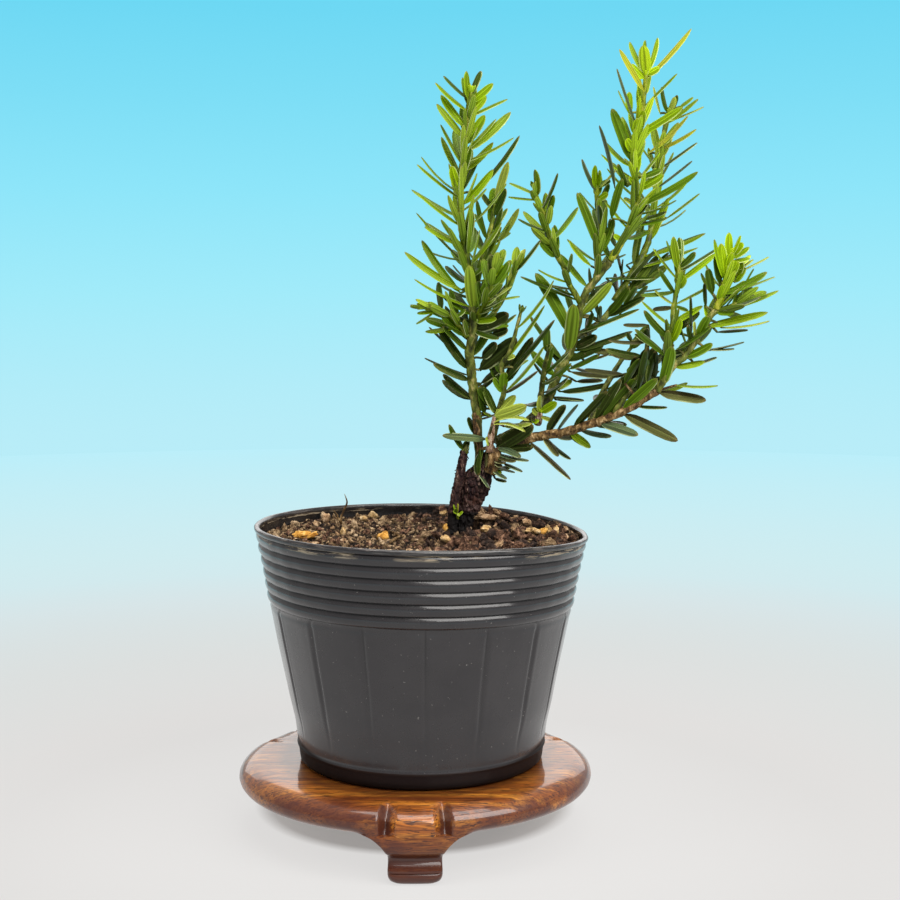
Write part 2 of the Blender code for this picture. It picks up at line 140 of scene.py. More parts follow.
# %% Helpers for finishes
class Finish:
    """One material on one Principled shader, with short calls for the nodes that feed it."""

    def __init__(self, name, roughness=0.5, coat=0.0, coat_roughness=0.1, specular=0.5):
        self.material = bpy.data.materials.new(name)
        self.material.use_nodes = True
        self.tree = self.material.node_tree
        self.shader = self.tree.nodes["Principled BSDF"]
        self.shader.inputs["Roughness"].default_value = roughness
        self.shader.inputs["Coat Weight"].default_value = coat
        self.shader.inputs["Coat Roughness"].default_value = coat_roughness
        self.shader.inputs["Specular IOR Level"].default_value = specular
        self.coordinates = self.tree.nodes.new("ShaderNodeTexCoord")

    def node(self, kind, **inputs):
        made = self.tree.nodes.new(kind)
        for key, value in inputs.items():
            self.feed(made, key.replace("_", " "), value)
        return made

    def feed(self, node, key, value):
        socket = node.inputs[key]
        if isinstance(value, bpy.types.NodeSocket):
            self.tree.links.new(value, socket)
        else:
            socket.default_value = value

    def split(self, source="Object"):
        """The three coordinates of the point that is shaded."""
        made = self.node("ShaderNodeSeparateXYZ")
        self.tree.links.new(self.coordinates.outputs[source], made.inputs["Vector"])
        return made.outputs["X"], made.outputs["Y"], made.outputs["Z"]

    def stretched(self, stretch, source="Object"):
        """Coordinates squeezed along an axis, so that a noise runs out into streaks."""
        mapping = self.node("ShaderNodeMapping", Scale=stretch)
        self.tree.links.new(self.coordinates.outputs[source], mapping.inputs["Vector"])
        return mapping.outputs["Vector"]

    def drawn_out(self, stretch, drift):
        """Coordinates that run along a needle, and shift with its place so that no two are alike."""
        placed = self.node("ShaderNodeVectorMath")
        placed.operation = "ADD"
        self.tree.links.new(self.stretched(stretch, "UV"), placed.inputs[0])
        self.tree.links.new(self.stretched((drift, drift, drift)), placed.inputs[1])
        return placed.outputs["Vector"]

    def noise(self, scale, detail=4.0, roughness=0.55, vector=None, distortion=0.0):
        made = self.node("ShaderNodeTexNoise", Scale=scale, Detail=detail, Roughness=roughness)
        made.inputs["Distortion"].default_value = distortion
        if vector is None:
            vector = self.coordinates.outputs["Object"]
        self.tree.links.new(vector, made.inputs["Vector"])
        return made.outputs["Fac"]

    def ramp(self, value, stops):
        """A colour ramp from a list of (position, colour)."""
        made = self.node("ShaderNodeValToRGB")
        self.tree.links.new(value, made.inputs["Fac"])
        places = made.color_ramp.elements
        while len(places) < len(stops):
            places.new(0.5)
        for place, (position, colour) in zip(places, stops):
            place.position = position
            place.color = (*colour, 1.0)
        return made.outputs["Color"]

    def grade(self, value, low, high, out_low=0.0, out_high=1.0):
        """A number carried from one range to another, and held at its ends."""
        made = self.tree.nodes.new("ShaderNodeMapRange")
        self.tree.links.new(value, made.inputs["Value"])
        for key, number in zip(("From Min", "From Max", "To Min", "To Max"), (low, high, out_low, out_high)):
            made.inputs[key].default_value = number
        return made.outputs["Result"]

    def maths(self, kind, first, second=None):
        made = self.tree.nodes.new("ShaderNodeMath")
        made.operation = kind
        self.feed(made, 0, first)
        if second is not None:
            self.feed(made, 1, second)
        return made.outputs["Value"]

    def away_from(self, x, y):
        """How far the shaded point lies from an upright axis, in metres."""
        at_x, at_y, _ = self.split()
        along = self.maths("SUBTRACT", at_x, x)
        across = self.maths("SUBTRACT", at_y, y)
        squares = self.maths("ADD", self.maths("MULTIPLY", along, along), self.maths("MULTIPLY", across, across))
        return self.maths("SQRT", squares)

    def mix(self, share, first, second, kind="MIX"):
        made = self.tree.nodes.new("ShaderNodeMix")
        made.data_type = "RGBA"
        made.blend_type = kind
        self.feed(made, 0, share)
        for key, value in ((6, first), (7, second)):
            if isinstance(value, tuple):
                value = (*value, 1.0)
            self.feed(made, key, value)
        return made.outputs[2]

    def colour(self, value):
        self.feed(self.shader, "Base Color", value)

    def rough(self, value):
        self.feed(self.shader, "Roughness", value)

    def glow(self, value):
        self.feed(self.shader, "Emission Color", value)
        self.shader.inputs["Emission Strength"].default_value = 1.0

    def bump(self, height, distance, strength=1.0):
        made = self.node("ShaderNodeBump", Strength=strength, Distance=distance)
        self.tree.links.new(height, made.inputs["Height"])
        before = self.shader.inputs["Normal"].links
        if before:
            self.tree.links.new(before[0].from_socket, made.inputs["Normal"])
        self.tree.links.new(made.outputs["Normal"], self.shader.inputs["Normal"])


print("finish helper ready")

# %% [markdown]
# The floor is only there to catch the shadow and to be seen in the gloss. It is a pale disc inside a
# bowl of studio paper that turns sky blue as it rises, and it is the same from every side. Far from
# the stand the disc takes on the paper's own colour, so no edge shows. Near it the disc glows, a
# painted light that keeps the shadow as soft as in the photograph, and a darker circle set just
# behind the board is a painted shadow. The paper is for the camera alone and sheds no light.

# %% Lay the floor and stand the paper round it
FLOOR_RADIUS = 0.8
# the light comes from in front, so the board's shadow lies a little further back than the board
SHADOW_X = -1.2
SHADOW_Y = 14.0
UNDER_STAND = (0.336, 0.333, 0.328)
UNDER_GLOW = (0.280, 0.277, 0.272)
PALE = (0.085, 0.084, 0.083)
PALE_GLOW = (0.610, 0.602, 0.594)
HALO_GLOW = (0.675, 0.667, 0.659)
FLOOR_TINTS = [
    (0.16, (0.640, 0.745, 0.750)),
    (0.25, (0.645, 0.785, 0.815)),
    (0.35, (0.605, 0.815, 0.850)),
    (0.52, (0.550, 0.830, 0.890)),
    (0.80, (0.485, 0.845, 0.940)),
]
PAPER_TINTS = [
    (0.0, (0.485, 0.845, 0.940)),
    (0.11, (0.360, 0.830, 0.955)),
    (0.20, (0.270, 0.785, 0.950)),
    (0.28, (0.207, 0.730, 0.920)),
    (0.36, (0.155, 0.685, 0.900)),
]
PAPER_OUTLINE = ((0.80, 0.0), (0.90, 0.006), (1.0, 0.03), (1.07, 0.08), (1.10, 0.15), (1.11, 0.30), (1.12, 1.0))
ROUND_STEPS = 96


def add_stage(name, rings, finish):
    """A round sheet made of (radius, height) rings about the pot's axis."""
    mesh = bpy.data.meshes.new(name)
    points = []
    for radius, height in rings:
        for step in range(ROUND_STEPS):
            turn = 2 * math.pi * step / ROUND_STEPS
            points.append((AXIS_X + radius * math.cos(turn), radius * math.sin(turn), height))
    faces = []
    for ring in range(len(rings) - 1):
        for step in range(ROUND_STEPS):
            low = ring * ROUND_STEPS
            after = (step + 1) % ROUND_STEPS
            faces.append((low + step, low + ROUND_STEPS + step, low + ROUND_STEPS + after, low + after))
    mesh.from_pydata(points, [], faces)
    mesh.shade_smooth()
    mesh.materials.append(finish.material)
    sheet = bpy.data.objects.new(name, mesh)
    bpy.context.scene.collection.objects.link(sheet)
    print(name, "laid")
    return sheet


floor_paper = Finish("pale floor paper", roughness=0.85, specular=0.1)
from_middle = floor_paper.away_from(AXIS_X, 0.0)
far_share = floor_paper.grade(from_middle, 0.10, 0.30)
far_tint = floor_paper.ramp(from_middle, FLOOR_TINTS)
from_shadow = floor_paper.away_from(AXIS_X + SHADOW_X * MM, SHADOW_Y * MM)
# painted shadow: inside a circle just behind the board the floor is darker, and a faint glow there lifts the real
# shadow
outside_painted_shadow = floor_paper.grade(from_shadow, 0.0306, 0.0340)
# painted light: outside that circle the floor glows, most in a painted halo close round the stand
painted_halo_glow = floor_paper.mix(floor_paper.grade(from_middle, 0.030, 0.085, 1.0, 0.0), PALE_GLOW, HALO_GLOW)
near_colour = floor_paper.mix(outside_painted_shadow, UNDER_STAND, PALE)
near_glow = floor_paper.mix(outside_painted_shadow, UNDER_GLOW, painted_halo_glow)
floor_paper.colour(floor_paper.mix(far_share, near_colour, (0.0, 0.0, 0.0)))
floor_paper.glow(floor_paper.mix(far_share, near_glow, far_tint))
add_stage("floor", ((0.0005, 0.0), (0.1, 0.0), (0.3, 0.0), (FLOOR_RADIUS, 0.0)), floor_paper)

wall_paper = Finish("sky blue paper", roughness=1.0, specular=0.0)
wall_paper.colour((0.0, 0.0, 0.0, 1.0))
wall_paper.glow(wall_paper.ramp(wall_paper.split()[2], PAPER_TINTS))
paper = add_stage("paper", PAPER_OUTLINE, wall_paper)
paper.visible_diffuse = False
paper.visible_glossy = False
paper.visible_shadow = False

# %% [markdown]
# Thousands of needles and soil grains would be slow as single objects. A heap gathers their points
# and faces in plain lists, and turns them into one mesh at the end. Each point also keeps two
# numbers, across and along the needle, which the finishes use to draw the midrib.

# %% A heap for many small shapes
class Heap:
    """Points, faces and a finish for each face, gathered into one piece."""

    def __init__(self):
        self.points = []
        self.faces = []
        self.finishes = []
        self.marks = []

    def add(self, points, faces, finishes, marks=None):
        first = len(self.points)
        self.points += points
        self.faces += [[first + index for index in face] for face in faces]
        self.finishes += finishes
        self.marks += marks or [(0.5, 0.5)] * len(points)

    def build(self, name, materials, slot, nodes=(), sharp=None):
        """Makes the piece, which moves with the model and stands for the named solids."""
        mesh = bpy.data.meshes.new(name)
        mesh.from_pydata(self.points, [], self.faces)
        used = sorted(set(self.finishes))
        for key in used:
            mesh.materials.append(materials[key])
        numbers = {key: number for number, key in enumerate(used)}
        mesh.polygons.foreach_set("material_index", [numbers[key] for key in self.finishes])
        layer = mesh.uv_layers.new(name="marks")
        corners = []
        for loop in mesh.loops:
            corners += self.marks[loop.vertex_index]
        layer.data.foreach_set("uv", corners)
        mesh.shade_smooth()
        if sharp:
            mesh.set_sharp_from_angle(angle=math.radians(sharp))
        mesh.update()
        piece = bpy.data.objects.new(name, mesh)
        bpy.context.scene.collection.objects.link(piece)
        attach(piece, "root")
        if nodes:
            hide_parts(*nodes)
        print(name, "faces:", len(self.faces))
        return piece


print("heap ready")

# %% [markdown]
# A smooth line through a few measured points is the start of every stem. A Catmull-Rom curve is
# used because it passes through each point, so a point read off the real shoot stays where it is.

# %% Smooth lines
def smooth_line(points, step):
    """Points about a step apart on a smooth curve through the given ones, in millimetres."""
    points = [Vector(point) for point in points]
    ends = [points[0] * 2 - points[1]] + points + [points[-1] * 2 - points[-2]]
    line = []
    for before, start, stop, after in zip(ends, ends[1:], ends[2:], ends[3:]):
        count = max(1, round((stop - start).length / step))
        for part in range(count):
            t = part / count
            bend = (stop - before) * t
            bend += (before * 2 - start * 5 + stop * 4 - after) * t * t
            bend += (start * 3 - before - stop * 3 + after) * t * t * t
            line.append(start + bend * 0.5)
    line.append(points[-1])
    return line


def between(values, share):
    """A value at a share of the way along a short list of values."""
    place = min(max(share, 0.0), 1.0) * (len(values) - 1)
    low = min(int(place), len(values) - 2)
    return values[low] + (values[low + 1] - values[low]) * (place - low)


def frames_along(line):
    """(place, forward, side, across) for each point of a line, turning as little as it can."""
    frames = []
    side = Vector((0.31, 0.93, 0.17))
    for index, place in enumerate(line):
        forward = (line[min(index + 1, len(line) - 1)] - line[max(index - 1, 0)]).normalized()
        side = (side - forward * side.dot(forward)).normalized()
        frames.append((place, forward, side, forward.cross(side)))
    return frames


def distances_along(line):
    """How far each point of a line is from its start."""
    far = [0.0]
    for before, after in zip(line, line[1:]):
        far.append(far[-1] + (after - before).length)
    return far


print("a line through three points has", len(smooth_line([(0, 0, 0), (5, 0, 5), (5, 0, 12)], 0.5)), "steps")

# %% [markdown]
# A yew shoot isn't a plain rod: below every needle a green ridge, called a leaf cushion, runs down
# the stem. Each ring of the tube is pushed out where a cushion passes, and a stretched noise adds
# scars and grain, so the relief shows in the outline as well as in the light.

# %% Stems with leaf cushions
CUSHION_RISE = 0.34
CUSHION_RUN = 2.2
CUSHION_HALF = 0.40


def add_stem(heap, line, radii, finish, sides=14, strip=0.12, grain=(1.1, 3.5), cushions=()):
    """A tapering stem along a line. cushions are (distance along, direction out) pairs, marked for the finish."""
    far = distances_along(line)
    last = len(line) - 1
    seed = line[0] * 1.7
    points = []
    marks = []
    for index, (place, forward, side, across) in enumerate(frames_along(line)):
        share = index / last
        radius = between(radii, share)
        near = [way for begin, way in cushions if -0.4 < begin - far[index] < CUSHION_RUN]
        starts = [begin - far[index] for begin, way in cushions if -0.4 < begin - far[index] < CUSHION_RUN]
        for number in range(sides):
            turn = 2 * math.pi * number / sides
            way = side * math.cos(turn) + across * math.sin(turn)
            seen = Vector((math.cos(turn) * radius / grain[0], math.sin(turn) * radius / grain[0], far[index] / grain[1]))
            rough = noise.noise(seen + seed) + 0.5 * noise.noise(seen * 2.3 + seed)
            crest = 0.0
            for start, cushion in zip(starts, near):
                apart = math.acos(min(1.0, max(-1.0, way.dot(cushion))))
                rise = min(1.0, (start + 0.4) / 0.6) * max(0.0, 1.0 - start / CUSHION_RUN)
                crest = max(crest, rise * math.exp(-((apart / CUSHION_HALF) ** 2)))
            out = radius * (1.0 + strip * rough + CUSHION_RISE * crest)
            points.append(spot(*(place + way * out)))
            marks.append((crest, share))
    faces = []
    for index in range(last):
        for number in range(sides):
            after = (number + 1) % sides
            low = index * sides
            faces.append((low + number, low + after, low + sides + after, low + sides + number))
    faces.append(tuple(reversed(range(sides))))
    faces.append(tuple(last * sides + number for number in range(sides)))
    heap.add(points, faces, [finish] * len(faces), marks)


print("stem helper ready")

# %% [markdown]
# A yew needle is a small flat blade on a thin stalk, with parallel edges, a raised midrib and a blunt
# point; young ones are more pointed. Nine rings of ten points are enough for its own outline and for
# a light that rolls over it. The upper and the under side get different finishes.

# %% One needle
OLD_OUTLINE = (
    (0.0, 0.26),
    (0.04, 0.26),
    (0.10, 0.58),
    (0.20, 0.88),
    (0.38, 1.0),
    (0.62, 1.0),
    (0.81, 0.90),
    (0.91, 0.68),
    (0.97, 0.38),
)
YOUNG_OUTLINE = (
    (0.0, 0.28),
    (0.04, 0.32),
    (0.11, 0.62),
    (0.21, 0.90),
    (0.38, 1.0),
    (0.62, 1.0),
    (0.79, 0.88),
    (0.90, 0.64),
    (0.965, 0.34),
)
YOUNG_TINTS = ("olive", "fresh", "tip", "pale", "gold")
NEEDLE_SECTION = (
    (-1, 0),
    (-0.70, 0.70),
    (-0.22, 0.78),
    (0, 1.15),
    (0.22, 0.78),
    (0.70, 0.70),
    (1, 0),
    (0.6, -0.65),
    (0, -1.05),
    (-0.6, -0.65),
)
UPPER_SIDES = 6
NEEDLE_THICK = 0.19


def add_needle(heap, root, tip, face, width, bow, tint):
    """A needle from root to tip in millimetres. Its upper side looks to face, and its middle strays by bow."""
    chord = tip - root
    side = chord.cross(face).normalized()
    thick = NEEDLE_THICK * min(1.0, 0.45 + width / 3.2)
    points = []
    marks = []
    outline = YOUNG_OUTLINE if tint in YOUNG_TINTS else OLD_OUTLINE
    for along, wide in outline:
        centre = root + chord * along + bow * (4 * along * (1 - along))
        forward = (chord + bow * (4 - 8 * along)).normalized()
        level = (side - forward * side.dot(forward)).normalized()
        up = level.cross(forward)
        for across, high in NEEDLE_SECTION:
            offset = level * (across * wide * width / 2) + up * (high * thick * (0.55 + 0.45 * wide))
            points.append(spot(*(centre + offset)))
            marks.append((0.5 + across / 2, along))
    points.append(spot(*tip))
    marks.append((0.5, 1.0))
    count = len(NEEDLE_SECTION)
    faces = []
    finishes = []
    for ring in range(len(outline) - 1):
        for number in range(count):
            after = (number + 1) % count
            low = ring * count
            faces.append((low + number, low + after, low + count + after, low + count + number))
            finishes.append((tint, number < UPPER_SIDES))
    low = (len(outline) - 1) * count
    for number in range(count):
        faces.append((low + number, low + (number + 1) % count, len(points) - 1))
        finishes.append((tint, number < UPPER_SIDES))
    faces.append(tuple(reversed(range(count))))
    finishes.append((tint, False))
    heap.add(points, faces, finishes, marks)


print("faces in one needle:", len(OLD_OUTLINE) * len(NEEDLE_SECTION) + 1)

# %% [markdown]
# New growth is a place on the plant, not a pattern on the leaf: the tips are yellow-green, the
# middle of each shoot is olive, and the oldest needles are nearly black. Each tint is a pair of
# finishes with a plain base colour, dealt out needle by needle as the shoot grows. The midrib and
# the two pale bands of the under side are drawn across the blade, and an old tip turns brown. On
# the upper side the midrib gets a painted highlight and the groove beside it painted shade, and
# the edges get painted highlights.

# %% Needle finishes
TINTS = {
    "black": ((0.0045, 0.0085, 0.0015), (0.014, 0.020, 0.004)),
    "dark": ((0.011, 0.023, 0.002), (0.031, 0.047, 0.007)),
    "deep": ((0.032, 0.064, 0.003), (0.072, 0.110, 0.011)),
    "leaf": ((0.076, 0.146, 0.003), (0.138, 0.212, 0.014)),
    "olive": ((0.142, 0.218, 0.004), (0.206, 0.282, 0.020)),
    "fresh": ((0.200, 0.318, 0.003), (0.275, 0.392, 0.012)),
    "tip": ((0.290, 0.425, 0.003), (0.385, 0.505, 0.010)),
    "gold": ((0.350, 0.355, 0.022), (0.420, 0.410, 0.050)),
    "pale": ((0.290, 0.345, 0.045), (0.395, 0.440, 0.105)),
    "grey": ((0.062, 0.090, 0.045), (0.100, 0.130, 0.072)),
    "brown": ((0.034, 0.028, 0.012), (0.058, 0.046, 0.022)),
}
OLD_TINTS = ("black", "dark", "grey", "brown")
TIP_BROWN = (0.170, 0.105, 0.040)
SCAR_BROWN = (0.115, 0.075, 0.045)
NEEDLE_GLOSS = (0.26, 0.42)
UNDER_GLOSS = (0.42, 0.62)
SHEEN_TINT = (0.88, 1.0, 0.25, 1.0)
EDGE_HIGHLIGHT = (0.520, 0.570, 0.280)


def needle_finish(tint, colour, under):
    finish = Finish(f"needle {tint} {'under' if under else 'upper'}", specular=0.3)
    finish.shader.inputs["Specular Tint"].default_value = SHEEN_TINT
    across, along, _ = finish.split("UV")
    from_rib = finish.maths("ABSOLUTE", finish.maths("SUBTRACT", across, 0.5))
    shade = tuple(channel * 0.55 for channel in colour)
    light = tuple(min(1.0, channel * 1.5 + extra) for channel, extra in zip(colour, (0.022, 0.032, 0.006)))
    patch = finish.noise(150.0, detail=1.0)
    streak = finish.noise(1.0, detail=1.0, vector=finish.drawn_out((4.5, 0.5, 1.0), 90.0))
    base = finish.mix(finish.grade(patch, 0.38, 0.62, 0.0, 0.65), colour, shade)
    base = finish.mix(finish.grade(streak, 0.50, 0.62, 0.0, 0.45), base, light)
    base = finish.mix(finish.grade(streak, 0.50, 0.38, 0.0, 0.45), base, shade)
    if under:
        from_band = finish.maths("ABSOLUTE", finish.maths("SUBTRACT", from_rib, 0.20))
        base = finish.mix(finish.grade(from_band, 0.05, 0.13, 0.75, 0.0), base, light)
        base = finish.mix(finish.grade(from_rib, 0.02, 0.06, 0.6, 0.0), base, shade)
    else:
        # painted shade in the groove beside the raised midrib, and a painted highlight along the midrib
        from_groove = finish.maths("ABSOLUTE", finish.maths("SUBTRACT", from_rib, 0.10))
        base = finish.mix(finish.grade(from_groove, 0.02, 0.05, 0.6, 0.0), base, shade)
        base = finish.mix(finish.grade(from_rib, 0.02, 0.06, 0.8, 0.0), base, light)
    # painted highlights along both edges of the blade, and a paler painted highlight along one edge
    base = finish.mix(finish.grade(from_rib, 0.36, 0.44, 0.0, 0.8), base, light)
    edge_highlight_share = finish.maths("MULTIPLY", finish.grade(across, 0.88, 0.94), finish.grade(patch, 0.46, 0.58, 0.0, 0.7))
    base = finish.mix(edge_highlight_share, base, EDGE_HIGHLIGHT)
    if tint in OLD_TINTS:
        scars = finish.noise(1500.0, detail=5.0, roughness=0.7)
        base = finish.mix(finish.grade(scars, 0.60, 0.68, 0.0, 0.6), base, SCAR_BROWN)
    base = finish.mix(finish.grade(along, 0.90, 1.0, 0.0, 0.55), base, TIP_BROWN)
    finish.colour(base)
    finish.rough(finish.grade(patch, 0.3, 0.7, *(UNDER_GLOSS if under else NEEDLE_GLOSS)))
    finish.bump(streak, 0.0001, 0.3)
    return finish.material


needle_materials = {}
for tint, (upper_colour, under_colour) in TINTS.items():
    needle_materials[(tint, True)] = needle_finish(tint, upper_colour, False)
    needle_materials[(tint, False)] = needle_finish(tint, under_colour, True)
print("needle tints:", ", ".join(TINTS))

# %% [markdown]
# Stem skin changes with age: green with yellow edges on this year's shoots, scaly olive-brown on the
# boughs, and pinkish-tan scales on the short stem in the middle.

# %% Stem finishes
def skin_finish(name, scale, colours, crest_highlight_colour, distance, roughness):
    finish = Finish(name, roughness=roughness, specular=0.3)
    crest, _, _ = finish.split("UV")
    scales = finish.noise(1.0, detail=3.0, roughness=0.6, vector=finish.stretched((scale, scale, scale * 0.5)), distortion=0.4)
    base = finish.ramp(scales, list(zip((0.32, 0.45, 0.56, 0.68), colours)))
    # painted highlight on the leaf cushions' crests, and painted shade in the furrows between them
    lit = finish.mix(finish.grade(crest, 0.15, 0.75, 0.0, 0.7), base, crest_highlight_colour)
    finish.colour(finish.mix(finish.grade(crest, 0.0, 0.10, 0.45, 0.0), lit, colours[0]))
    finish.bump(scales, distance, 0.9)
    return finish.material


green_colours = ((0.028, 0.042, 0.002), (0.075, 0.105, 0.003), (0.155, 0.200, 0.006), (0.330, 0.320, 0.040))
lime_colours = ((0.060, 0.080, 0.003), (0.150, 0.190, 0.006), (0.290, 0.320, 0.010), (0.500, 0.430, 0.060))
olive_colours = ((0.020, 0.020, 0.003), (0.066, 0.078, 0.008), (0.150, 0.158, 0.022), (0.400, 0.330, 0.110))
scaly_colours = ((0.014, 0.006, 0.002), (0.084, 0.042, 0.011), (0.235, 0.132, 0.042), (0.600, 0.400, 0.200))
pink_colours = ((0.045, 0.018, 0.008), (0.230, 0.118, 0.062), (0.540, 0.360, 0.240), (0.900, 0.790, 0.660))
skin_materials = {
    "green": skin_finish("green shoot skin", 700.0, green_colours, (0.150, 0.210, 0.006), 0.00015, 0.42),
    "lime": skin_finish("lime shoot skin", 700.0, lime_colours, (0.270, 0.330, 0.010), 0.00015, 0.42),
    "olive": skin_finish("olive bough skin", 900.0, olive_colours, (0.140, 0.180, 0.018), 0.00025, 0.6),
    "scaly": skin_finish("scaly young bark", 1100.0, scaly_colours, (0.240, 0.150, 0.055), 0.0007, 0.75),
    "pink": skin_finish("tan stem scales", 1400.0, pink_colours, (0.440, 0.320, 0.220), 0.0007, 0.7),
}
print("stem skins:", ", ".join(skin_materials))

# %% [markdown]
# The needles that stand out in the photograph were measured on enlarged views of it. A reading is
# carried back through the camera to a chosen depth, so the needle shows where the real one does and
# still starts on its own stem when it is seen from any other side.

# %% Carry a reading back to its place
VIEWS = {
    "spire": (395, 60, 6),
    "tall": (560, 20, 6),
    "right": (600, 210, 5),
    "middle": (400, 240, 5),
    "knob": (395, 380, 6),
    "under": (530, 340, 6),
    "inner": (565, 285, 16),
    "outer": (640, 225, 11),
    "foot": (440, 395, 14),
    "gap": (470, 300, 16),
    "photo": (0, 0, 1),
}
PICTURE_HALF = 450.0
PICTURE_FOCUS = 2 * PICTURE_HALF * CAMERA_LENS / CAMERA_SENSOR
EYE = Vector((0.0, -CAMERA_AWAY, CAMERA_UP))
AHEAD = Vector((math.sin(CAMERA_TURN), math.cos(CAMERA_TURN), 0)) * math.cos(CAMERA_TILT)
AHEAD.z = -math.sin(CAMERA_TILT)
TO_RIGHT = Vector((math.cos(CAMERA_TURN), -math.sin(CAMERA_TURN), 0.0))
UPWARDS = TO_RIGHT.cross(AHEAD)


def reading(view, x, y, depth):
    """The place, in millimetres and at a depth behind the pot's axis, of a point in an enlarged view."""
    left, top, enlarged = VIEWS[view]
    across = (left + x / enlarged - PICTURE_HALF) / PICTURE_FOCUS
    down = (top + y / enlarged - PICTURE_HALF) / PICTURE_FOCUS
    ray = AHEAD + TO_RIGHT * across - UPWARDS * down
    return EYE + ray * ((depth - EYE.y) / ray.y)


print("the highest needle's tip is at", [round(part, 1) for part in reading("tall", 790, 50, 10)])

# %% [markdown]
# Two rules put needles on a shoot. The first takes the readings. The second is the plant's own: each
# needle is turned about 137 degrees from the last, so that none shades the one above it. It stands
# well out low on the shoot and closes up round the bud. Where readings already fill the side that
# shows, the second rule only keeps the needles that point away from the camera.

# %% The branching rule
# gaps in the crown, as x, y and radius in the photograph
OPENINGS = (
    (609, 300, 6), (608, 312, 5), (594, 318, 4), (628, 319, 4), (638, 317, 5), (646, 319, 4), (645, 301, 5), (656, 302, 6),
    (615, 346, 4), (625, 348, 5), (636, 350, 4), (597, 366, 3), (607, 364, 5), (618, 365, 5), (626, 366, 4), (592, 378, 4),
    (605, 379, 4), (614, 381, 4), (656, 337, 5), (579, 291, 5), (520, 305, 6), (530, 325, 6), (541, 310, 6), (556, 332, 6),
    (560, 345, 5), (526, 388, 7), (537, 392, 7), (494, 386, 4), (498, 394, 4), (545, 425, 6), (480, 376, 3), (534, 358, 4),
    (564, 248, 4), (580, 262, 4), (583, 222, 4), (587, 232, 3), (533, 254, 4), (541, 248, 4), (548, 254, 4), (522, 270, 4),
    (517, 290, 4), (510, 303, 4), (541, 297, 4), (517, 325, 3), (525, 336, 3), (547, 309, 4), (538, 344, 4), (544, 355, 3),
    (532, 370, 4), (538, 381, 4), (608, 347, 4), (642, 347, 4), (600, 362, 5), (622, 362, 5), (612, 367, 5), (585, 376, 3),
    (612, 378, 4), (570, 395, 4), (585, 394, 5), (600, 388, 4), (585, 405, 3), (568, 421, 3), (625, 398, 3), (677, 378, 4),
    (668, 385, 3), (680, 340, 3), (696, 325, 3), (691, 284, 4), (684, 292, 3), (666, 275, 4), (656, 281, 4), (632, 261, 3),
    (628, 247, 3), (652, 238, 4), (647, 250, 3), (620, 231, 3), (624, 216, 3), (667, 295, 3), (686, 306, 3),
)
OPENING_EDGE = 2.0
GOLDEN_TURN = 137.5
BLADE = 1.9
AWAY_SHARE = 0.28
PRESSED = 0.9
FACING_SHARE = -0.45
STUB_REACH = 1.6
STUB_RADIUS = 0.28
BUD_NEEDLES = 7


def stem_below(line, view, x, y):
    """The step of a line that shows nearest to a reading, and the reading's place at that depth."""
    best = None
    for index, place in enumerate(line):
        seen = reading(view, x, y, place.y)
        gap = (seen - place).length
        if best is None or gap < best[0]:
            best = (gap, index, seen)
    return best


def set_needle(heap, stems, line, frames, radius, skin, view, row, rng):
    """A needle read off the photograph: (root x, root y, tip x, tip y, shown, tint, nearer, width, bow).

    shown is how much of the blade faces the camera, less than nothing for its under side. nearer is
    how far its tip comes towards the camera from its root. Chance decides what a row leaves out.
    """
    root_x, root_y, tip_x, tip_y, shown, tint = row[:6]
    gap, index, root = stem_below(line, view, root_x, root_y)
    place, forward, _, _ = frames[index]
    flat_tip = reading(view, tip_x, tip_y, place.y)
    run = (flat_tip - root).length
    nearer = row[6] if len(row) > 6 else rng.choice((-1, 1)) * rng.uniform(0.2, 0.62) * run
    tip = reading(view, tip_x, tip_y, place.y - nearer)
    if gap > STUB_REACH:
        stub = smooth_line([place, place.lerp(root, 0.5) + forward * 0.3, root], 0.5)
        add_stem(stems, stub, (STUB_RADIUS, STUB_RADIUS * 0.8), skin, sides=8)
    else:
        out = tip - place
        out = (out - forward * out.dot(forward)).normalized()
        root = place + out * radius * 0.6
    chord = tip - root
    to_eye = EYE - (root + tip) / 2
    to_eye = (to_eye - chord * (to_eye.dot(chord) / chord.length_squared)).normalized()
    edge = chord.cross(to_eye).normalized()
    if edge.dot(forward) < 0:
        edge.negate()
    turn = math.asin(min(1.0, abs(shown)))
    face = edge * math.cos(turn) + to_eye * math.sin(turn) * math.copysign(1.0, shown)
    width = row[7] if len(row) > 7 else BLADE * rng.uniform(0.92, 1.06)
    sag = edge * chord.length * (row[8] if len(row) > 8 else rng.uniform(-0.045, 0.01))
    add_needle(heap, root, tip, face, width, sag, tint)
    return index, out_of_stem(place, tip, forward)


def out_of_stem(place, tip, forward):
    out = tip - place
    return (out - forward * out.dot(forward)).normalized()


def in_opening(root, reach):
    """Whether a needle would cross a gap in the crown where the photograph shows the paper."""
    for share in (0.25, 0.4, 0.55, 0.7, 0.85, 1.0):
        ray = root + reach * share - EYE
        depth = ray.dot(AHEAD)
        x = PICTURE_HALF + PICTURE_FOCUS * ray.dot(TO_RIGHT) / depth
        y = PICTURE_HALF - PICTURE_FOCUS * ray.dot(UPWARDS) / depth
        for gap_x, gap_y, gap_radius in OPENINGS:
            if math.hypot(x - gap_x, y - gap_y) < gap_radius + OPENING_EDGE:
                return True
    return False


